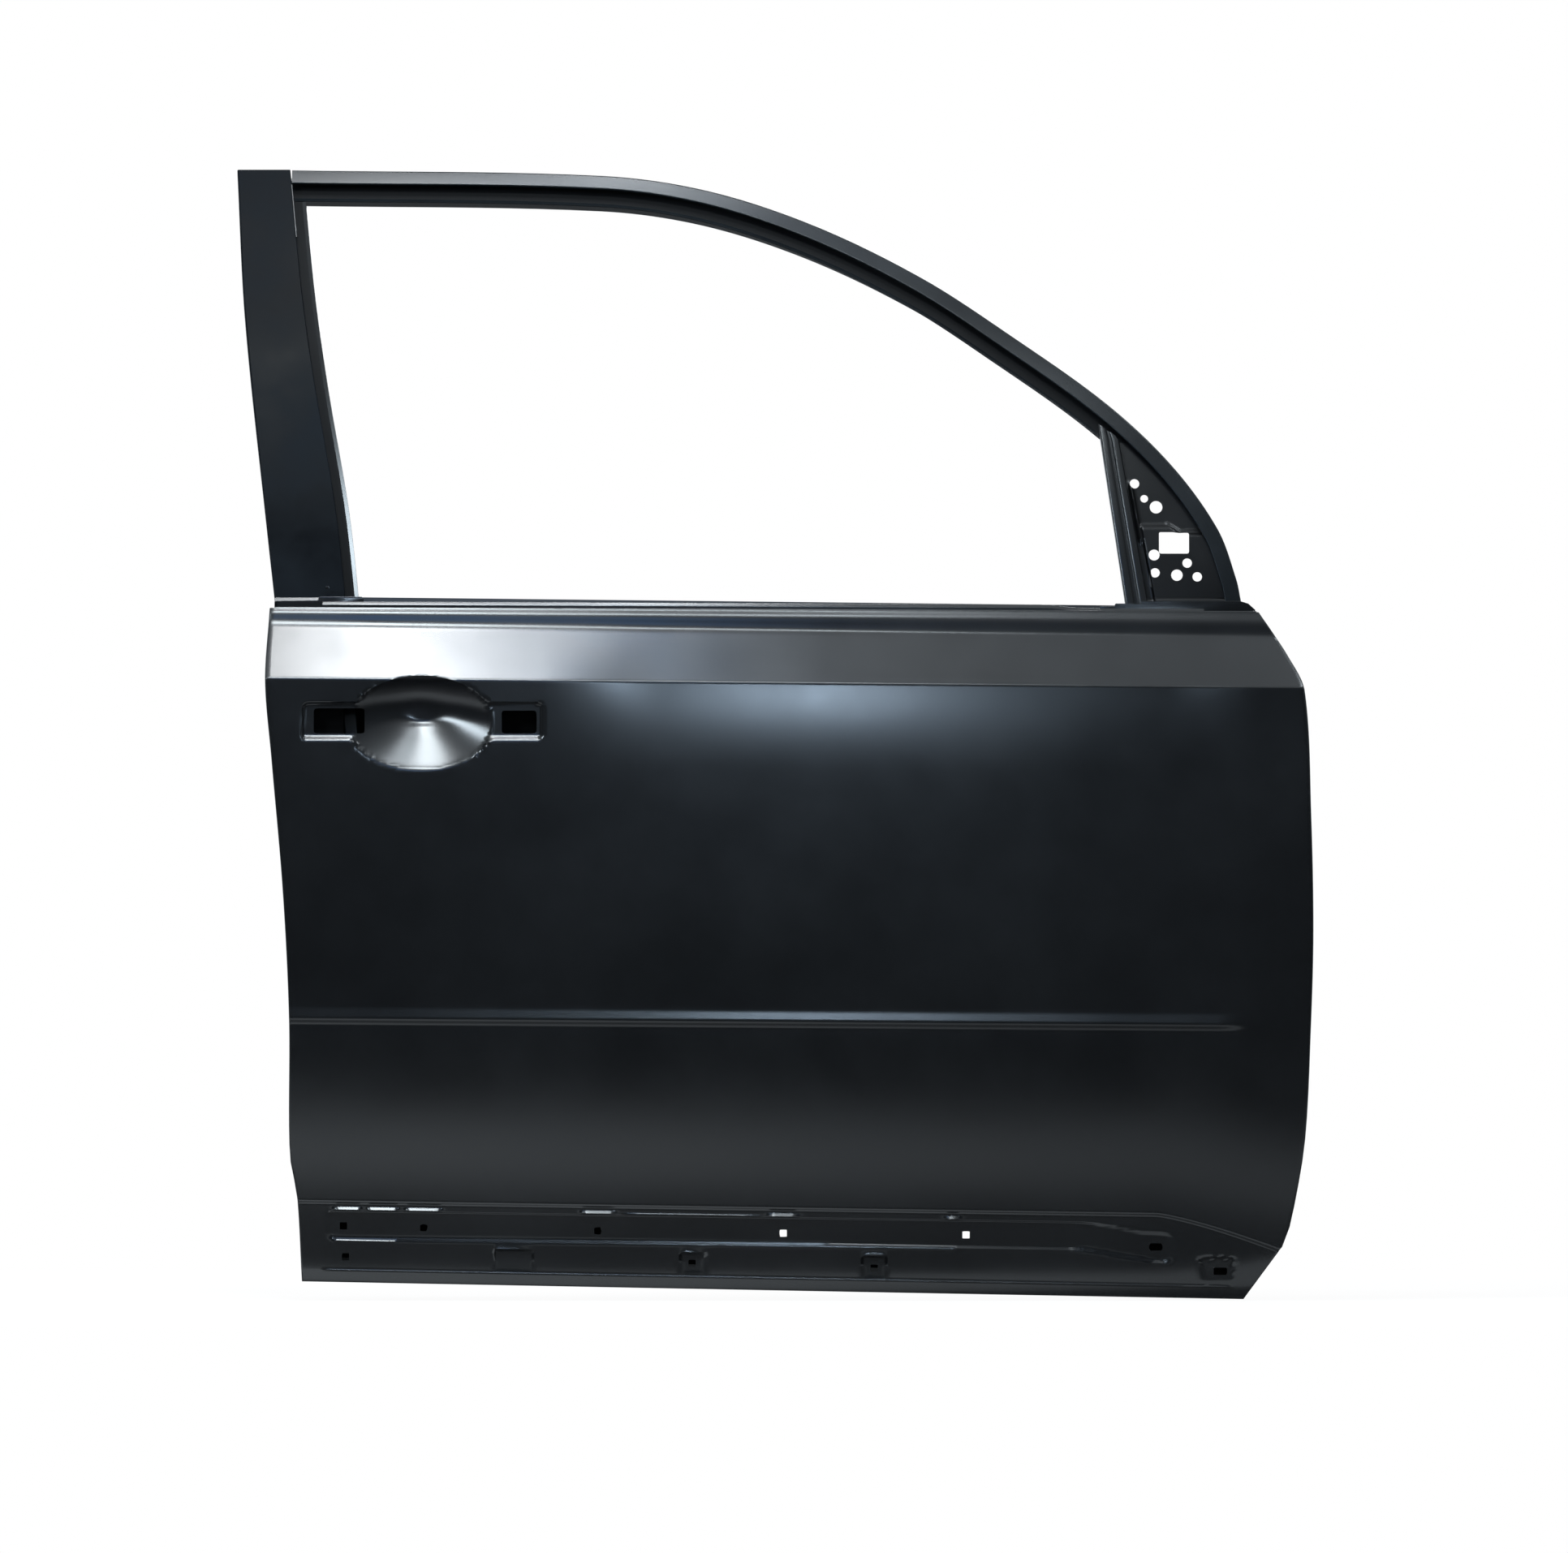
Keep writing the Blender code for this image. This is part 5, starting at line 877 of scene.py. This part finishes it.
# Mirror corner plate: a 1 mm pressing with a step across it, an embossed field and the mirror's holes.
# It is welded to the header's band, to the division bar and to the belt.
SAIL_DEPTH, SAIL_STEP_Z, SAIL_STEP, SAIL_SHEET = 0.0108, 0.2627, 0.0035, 0.0010
SAIL_STEP_FALL, SAIL_LEDGE, SAIL_RIB, SAIL_CREST = 0.0110, 0.0026, 0.0024, 0.0009
SAIL_FOOT_Z, SAIL_TOP_Z = 0.1500, 0.3560
SAIL_HOLES = [(-0.1522, 0.3094, 0.0102), (-0.1420, 0.2937, 0.0082), (-0.1296, 0.2848, 0.0133),
              (-0.1318, 0.2346, 0.0117), (-0.0972, 0.2261, 0.0101), (-0.1309, 0.2159, 0.0101),
              (-0.1080, 0.2134, 0.0122), (-0.0867, 0.2117, 0.0101)]
SAIL_WINDOW = (-0.1267, -0.0952, 0.2360, 0.2587, 0.0016)
header_edge = [(z, x) for x, z in reversed(HEADER_LINE[-6:])]


def sail_front_x(z):
    inside = np.maximum(z, header_edge[0][0])
    slope = (cubic(header_edge, inside + 0.004) - cubic(header_edge, inside - 0.004)) / 0.008
    under = cubic(header_edge, inside) - 0.0060 * np.hypot(1.0, slope)
    return np.where(z < header_edge[0][0], under - (header_edge[0][0] - z) * 0.60, under)


def hole_distance(x, z):
    """Distance inside the nearest hole of the plate, which is punched square to the car's side."""
    z = z - np.where(z > SAIL_STEP_Z, SAIL_DEPTH, SAIL_DEPTH - SAIL_STEP) * (z - ARC_Z) / FRAME_RADIUS
    inside = inside_box(x, z, *SAIL_WINDOW)
    for hx, hz, size in SAIL_HOLES:
        inside = np.maximum(inside, size / 2 - np.hypot(x - hx, z - hz))
    return inside


def sail_depth(x, z, rear):
    """Depth of the plate: shallower below its step, whose line falls towards the front."""
    over_step = z - SAIL_STEP_Z + 0.7 * SAIL_STEP_FALL * ease((x + 0.118) / 0.017)
    below = 1 - ease((over_step - 0.0010) / 0.0075)
    field = ease((x - (rear + 0.0065)) / 0.0030)
    rib = np.exp(-((x - rear - 0.0052) / 0.0021) ** 2) * ease((z - 0.2450) / 0.012)
    rib = rib * ease((0.318 - z) / 0.012)
    crest = np.exp(-((over_step - 0.0075) / 0.0012) ** 2) * ease((x + 0.121) / 0.004)
    ledge = SAIL_LEDGE * ease((0.1915 - z) / 0.0025)
    return SAIL_DEPTH - SAIL_STEP * below * field - SAIL_RIB * rib - SAIL_CREST * crest * field - ledge


sail_rows = np.linspace(SAIL_FOOT_Z, SAIL_TOP_Z, 150)
share, sail_z = np.meshgrid(np.linspace(0.0, 1.0, 80), sail_rows)
rear = np.array([bar_rear_x(z) + bar_width(z) + 0.0006 for z in sail_rows])[:, None]
front = sail_front_x(sail_rows)[:, None]
sail_x = rear + (front - rear) * share
open_cells = hole_distance(cell_middles(sail_x), cell_middles(sail_z)) > 0
on_rim = on_rim_of(open_cells)
sail_x[on_rim], sail_z[on_rim] = on_edge(hole_distance, sail_x[on_rim], sail_z[on_rim], 5)
deep = sail_depth(sail_x, sail_z, rear)
vertices = [frame_point(x, arc_length(z), d) for x, z, d in zip(sail_x.flat, sail_z.flat, deep.flat)]
corner_primer = primer("corner_primer", 0.30, (0.0014, 0.0015, 0.0018), (0.0030, 0.0032, 0.0036),
                       specular=0.25)
sail = mesh_piece("mirror_corner_plate", vertices, grid_faces(~open_cells), corner_primer)
thickened(sail, SAIL_SHEET, 40, False)
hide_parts("mirror_sail_plate")
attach(sail, "root")

# Corner brackets at the belt: small pressed plates that tie the frame's feet to the door body.
# Each is spot welded, 1.2 mm thick, with a rolled edge that catches the light.
CORNER_Y = 0.0578


def belt_bracket(name, outline, y_at=CORNER_Y, corner=0.0012):
    """A plate in the plane of the belt, from its outline of (x, z)."""
    line = rounded_line(list(outline) + [outline[0], outline[1]], corner, 3)[1:-1]
    line = [p for p, q in zip(line, line[1:] + line[:1]) if math.dist(p, q) > 1e-6]
    made = lofted(name, [[(x, y + float(plan(x)) - HINGE_SEAT_Y, z) for x, z in line]
                         for y in (y_at, y_at + FRAME_SHEET)], rail_primer)
    edge_round = made.modifiers.new("edge_round", "BEVEL")
    edge_round.width = 0.00045
    edge_round.segments = 2
    edge_round.limit_method = "ANGLE"
    plain_mesh(made)
    made.data.set_sharp_from_angle(angle=math.radians(50))


belt_bracket("rear_corner_bracket", [
    (-1.0525, 0.1700), (-1.0525, 0.1864), (-1.0070, 0.1870), (-1.0060, 0.1908), (-0.9612, 0.1908),
    (-0.9590, 0.1885), (-0.9590, 0.1700)])
belt_bracket("front_corner_bracket", [
    (-0.1885, 0.1650), (-0.1885, 0.1806), (-0.1740, 0.1806), (-0.1725, 0.1836), (-0.1470, 0.1836),
    (-0.1455, 0.1862), (-0.0420, 0.1862), (-0.0335, 0.1836), (-0.0262, 0.1770), (-0.0245, 0.1650)])
belt_bracket("rear_corner_tab", [(-0.9990, 0.1985), (-0.9990, 0.2012), (-0.9955, 0.2016), (-0.9948, 0.1990)],
             0.0560, 0.0006)

# Belt reinforcement of the skin: a 1.2 mm channel inside the sill, spot welded to the skin's fold.
# Its rolled upper flange stands above the skin and carries the outer glass seal.
FLANGE_BEHIND_TOP = FOLD_WIDTH + 0.0010 + SHEET_GAP
FLANGE_RISE, FLANGE_ROLL = 0.0036, ((0.0040, 0.0026), (0.0026, 0.0036))
FLANGE_FOOT, KNEE, FOOT = 0.0180, 0.0360, 0.0560
sections = []
for x in np.linspace(-1.0020, -0.0800, 60):
    top = TOP - FALLS[-1] * float(along(x))
    y_flange = TOP_DEPTH + float(plan(x)) + FLANGE_BEHIND_TOP
    upper = top + FLANGE_RISE * (1 - float(ease((x + 0.245) / 0.035)))
    line = [(y_flange + deep, upper + up) for deep, up in FLANGE_ROLL]
    line += [(y_flange, upper), (y_flange, top - FLANGE_FOOT)]
    for z in (top - KNEE, top - FOOT):
        line.append((depth_at(x, z, z + 0.0125 * float(along(x))) + 0.0045, z))
    sections.append([(x, y - HINGE_SEAT_Y, z) for y, z in strip(line, 0.0010, 3)])
belt = lofted("outer_belt_channel", sections, rail_primer)
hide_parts("belt_reinforcement_outer")

# Rolled edge of the rear corner bracket: a folded lip that carries the end of the outer glass seal.
# It is 1 mm steel and stands in line with the channel's rolled flange.
LIP_SHEET = 0.0010
sections = []
for x in np.linspace(-1.0520, -1.0030, 8):
    y = CORNER_Y + float(plan(x)) - HINGE_SEAT_Y
    fold = [(y + 0.0026, 0.1898), (y, 0.1862), (y, 0.1800)]
    sections.append([(x, y, z) for y, z in strip(fold, 0.0010, 3, LIP_SHEET)])
lofted("rear_corner_lip", sections, rail_primer)


# Weld beads and seam sealer: ropes laid along a path, a little uneven as they come from the gun.
# The sealer closes the inner edge of the hem; the weld joins the rear upright to the header.
GEOMETRY = ("Geometry", "Geometry")


def strung(tree, given, step):
    """The given path as a curve, with points one step apart."""
    curve = node(tree, "GeometryNodeMeshToCurve", {"Mesh": given["Geometry"]}).outputs["Curve"]
    spaced = node(tree, "GeometryNodeResampleCurve", {"Curve": curve, "Length": given[step]}, mode="LENGTH")
    return spaced.outputs["Curve"]


def coated(tree, geometry, given, result):
    """Puts out the geometry as one real mesh in its finish."""
    real = node(tree, "GeometryNodeRealizeInstances", {"Geometry": geometry}).outputs["Geometry"]
    coat = node(tree, "GeometryNodeSetMaterial", {"Geometry": real, "Material": given["Finish"]})
    tree.links.new(coat.outputs["Geometry"], result["Geometry"])


def grown(name, path, aims, tree, values, finish):
    """A piece grown by a node tree along a path of points, each with the way it faces."""
    mesh = bpy.data.meshes.new(name)
    mesh.from_pydata([tuple(p) for p in path], [(i, i + 1) for i in range(len(path) - 1)], [])
    aim = mesh.attributes.new("aim", "FLOAT_VECTOR", "POINT")
    aim.data.foreach_set("vector", [c for a in aims for c in a])
    made = placed(name, mesh)
    grow = made.modifiers.new("grow", "NODES")
    grow.node_group = tree
    values = {**values, "Finish": finish}
    for item in tree.interface.items_tree:
        if item.in_out == "INPUT" and item.name in values:
            grow[item.identifier] = values[item.name]
    plain_mesh(made)
    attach(made, "root")


rope, given, result = node_group("rope", "GeometryNodeTree", [
    (*GEOMETRY, None), ("Radius", "Float", 0.0016), ("Step", "Float", 0.005), ("Unevenness", "Float", 0.2),
    ("Finish", "Material", None)], [GEOMETRY])
wander = noise(rope, node(rope, "GeometryNodeInputPosition").outputs["Position"], 60.0, 2.0)
swing = combine(rope, "MULTIPLY", combine(rope, "SUBTRACT", wander, 0.5),
                combine(rope, "MULTIPLY", given["Unevenness"], 2.0))
swell = combine(rope, "ADD", swing, 1.0)
thick = node(rope, "GeometryNodeSetCurveRadius", {"Curve": strung(rope, given, "Step"), "Radius": swell})
profile = node(rope, "GeometryNodeCurvePrimitiveCircle", {"Resolution": 8, "Radius": given["Radius"]})
tube = node(rope, "GeometryNodeCurveToMesh", {
    "Curve": thick.outputs["Curve"], "Profile Curve": profile.outputs["Curve"], "Scale": swell,
    "Fill Caps": True})
coated(rope, tube.outputs["Mesh"], given, result)

sealer = primer("seam_sealer", 0.55, (0.010, 0.011, 0.012), (0.018, 0.019, 0.020), 0.08, bump=0.00004)
bead = [p + step * (HEM_WIDTH + 0.0004) - normal * HEM_RADIUS * 1.7 for p, step, normal in rim]
grown("hem_sealer", bead, [-normal for _, _, normal in rim], rope,
      {"Radius": 0.0017, "Step": 0.005, "Unevenness": 0.25}, sealer)
seam = [frame_point(float(cubic(POST_FRONT, z)) - 0.0002, arc_length(z), 0.0001)
        for z in np.linspace(0.5695, 0.6250, 24)]
grown("corner_weld", seam, [(0, -1, 0)] * len(seam), rope,
      {"Radius": 0.0011, "Step": 0.0016, "Unevenness": 0.35}, rail_primer)

# Spot welds: shallow round spots in a row where two sheets are joined on the frame's inner side.
# Each is 4 to 5 mm across and stands about a third of a millimetre proud.
SPOT_FLATTENING = 0.16
spots, given, result = node_group("spot_welds", "GeometryNodeTree", [
    (*GEOMETRY, None), ("Spacing", "Float", 0.035), ("Width", "Float", 0.0045), ("Seed", "Int", 7),
    ("Finish", "Material", None)], [GEOMETRY])
facing = node(spots, "GeometryNodeInputNamedAttribute", {"Name": "aim"}, data_type="FLOAT_VECTOR")
turn = node(spots, "FunctionNodeAlignRotationToVector", {"Vector": facing.outputs["Attribute"]}, axis="Z")
chance = node(spots, "FunctionNodeRandomValue", {2: 0.85, 3: 1.1, "Seed": given["Seed"]}, data_type="FLOAT")
ball = node(spots, "GeometryNodeMeshUVSphere", {
    "Segments": 16, "Rings": 8, "Radius": combine(spots, "MULTIPLY", given["Width"], 0.5)})
flat = node(spots, "GeometryNodeTransform", {
    "Geometry": ball.outputs["Mesh"], "Scale": (1.0, 1.0, SPOT_FLATTENING)})
welds = node(spots, "GeometryNodeInstanceOnPoints", {
    "Points": strung(spots, given, "Spacing"), "Instance": flat.outputs["Geometry"],
    "Rotation": turn.outputs["Rotation"], "Scale": chance.outputs[1]})
coated(spots, welds.outputs["Instances"], given, result)


def weld_row(name, row, deeper, spacing, width, seed):
    """Spot welds along a row of places that face the same row a little deeper in."""
    aims = [(Vector(b) - Vector(a)).normalized() for a, b in zip(row, deeper)]
    grown(name, row, aims, spots, {"Spacing": spacing, "Width": width, "Seed": seed}, rail_primer)


depths = (seat + FRAME_SHEET, seat + FRAME_SHEET + 0.001)
row, deeper = ([section[0] for section in swept(box_path[1:-1], [(CHANNEL_LEG - 0.0028, depth)])]
               for depth in depths)
weld_row("header_spot_welds", row, deeper, 0.034, 0.0042, 7)
row, deeper = ([frame_point(float(cubic(POST_FRONT, z)) - 0.0010, arc_length(z), depth)
                for z in np.linspace(0.2150, 0.6000, 30)] for depth in depths)
weld_row("post_spot_welds", row, deeper, 0.036, 0.0050, 3)

# Inner panel and plates: the remaining pressings of the imported shell, in the same dip coat.
# The plates inside the cavity are duller, the handle's pieces behind the skin's slots are near black and
# barely mirror as painted shade of the cavity, and the pads between beam and skin are of rubbery mastic.
inner_primer = primer("inner_primer", 0.34, (0.0042, 0.0046, 0.0052), (0.0085, 0.0090, 0.0098), 0.05)
plate_primer = primer("plate_primer", 0.48, (0.0055, 0.0060, 0.0066), (0.012, 0.0125, 0.0135), 0.07)
# Cavity primer: near black and barely mirroring, painted shade for the handle's pieces seen through the
# slots.
cavity_shade_primer = primer("cavity_shade_primer", 0.75, (0.0012, 0.0012, 0.0014), (0.0022, 0.0023, 0.0025), 0.05,
                       specular=0.05)
mastic = primer("mastic", 0.80, (0.010, 0.0095, 0.0090), (0.020, 0.019, 0.018), 0.08, bump=0.00006)
DULLER_AND_SHADED = {"handle": cavity_shade_primer, "mastic": mastic, "hinge": plate_primer, "check": plate_primer,
          "latch": plate_primer, "impact": plate_primer}
for name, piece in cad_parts.items():
    if not piece.hide_render:
        piece.data.materials.clear()
        piece.data.materials.append(DULLER_AND_SHADED.get(name.split("_")[0], inner_primer))
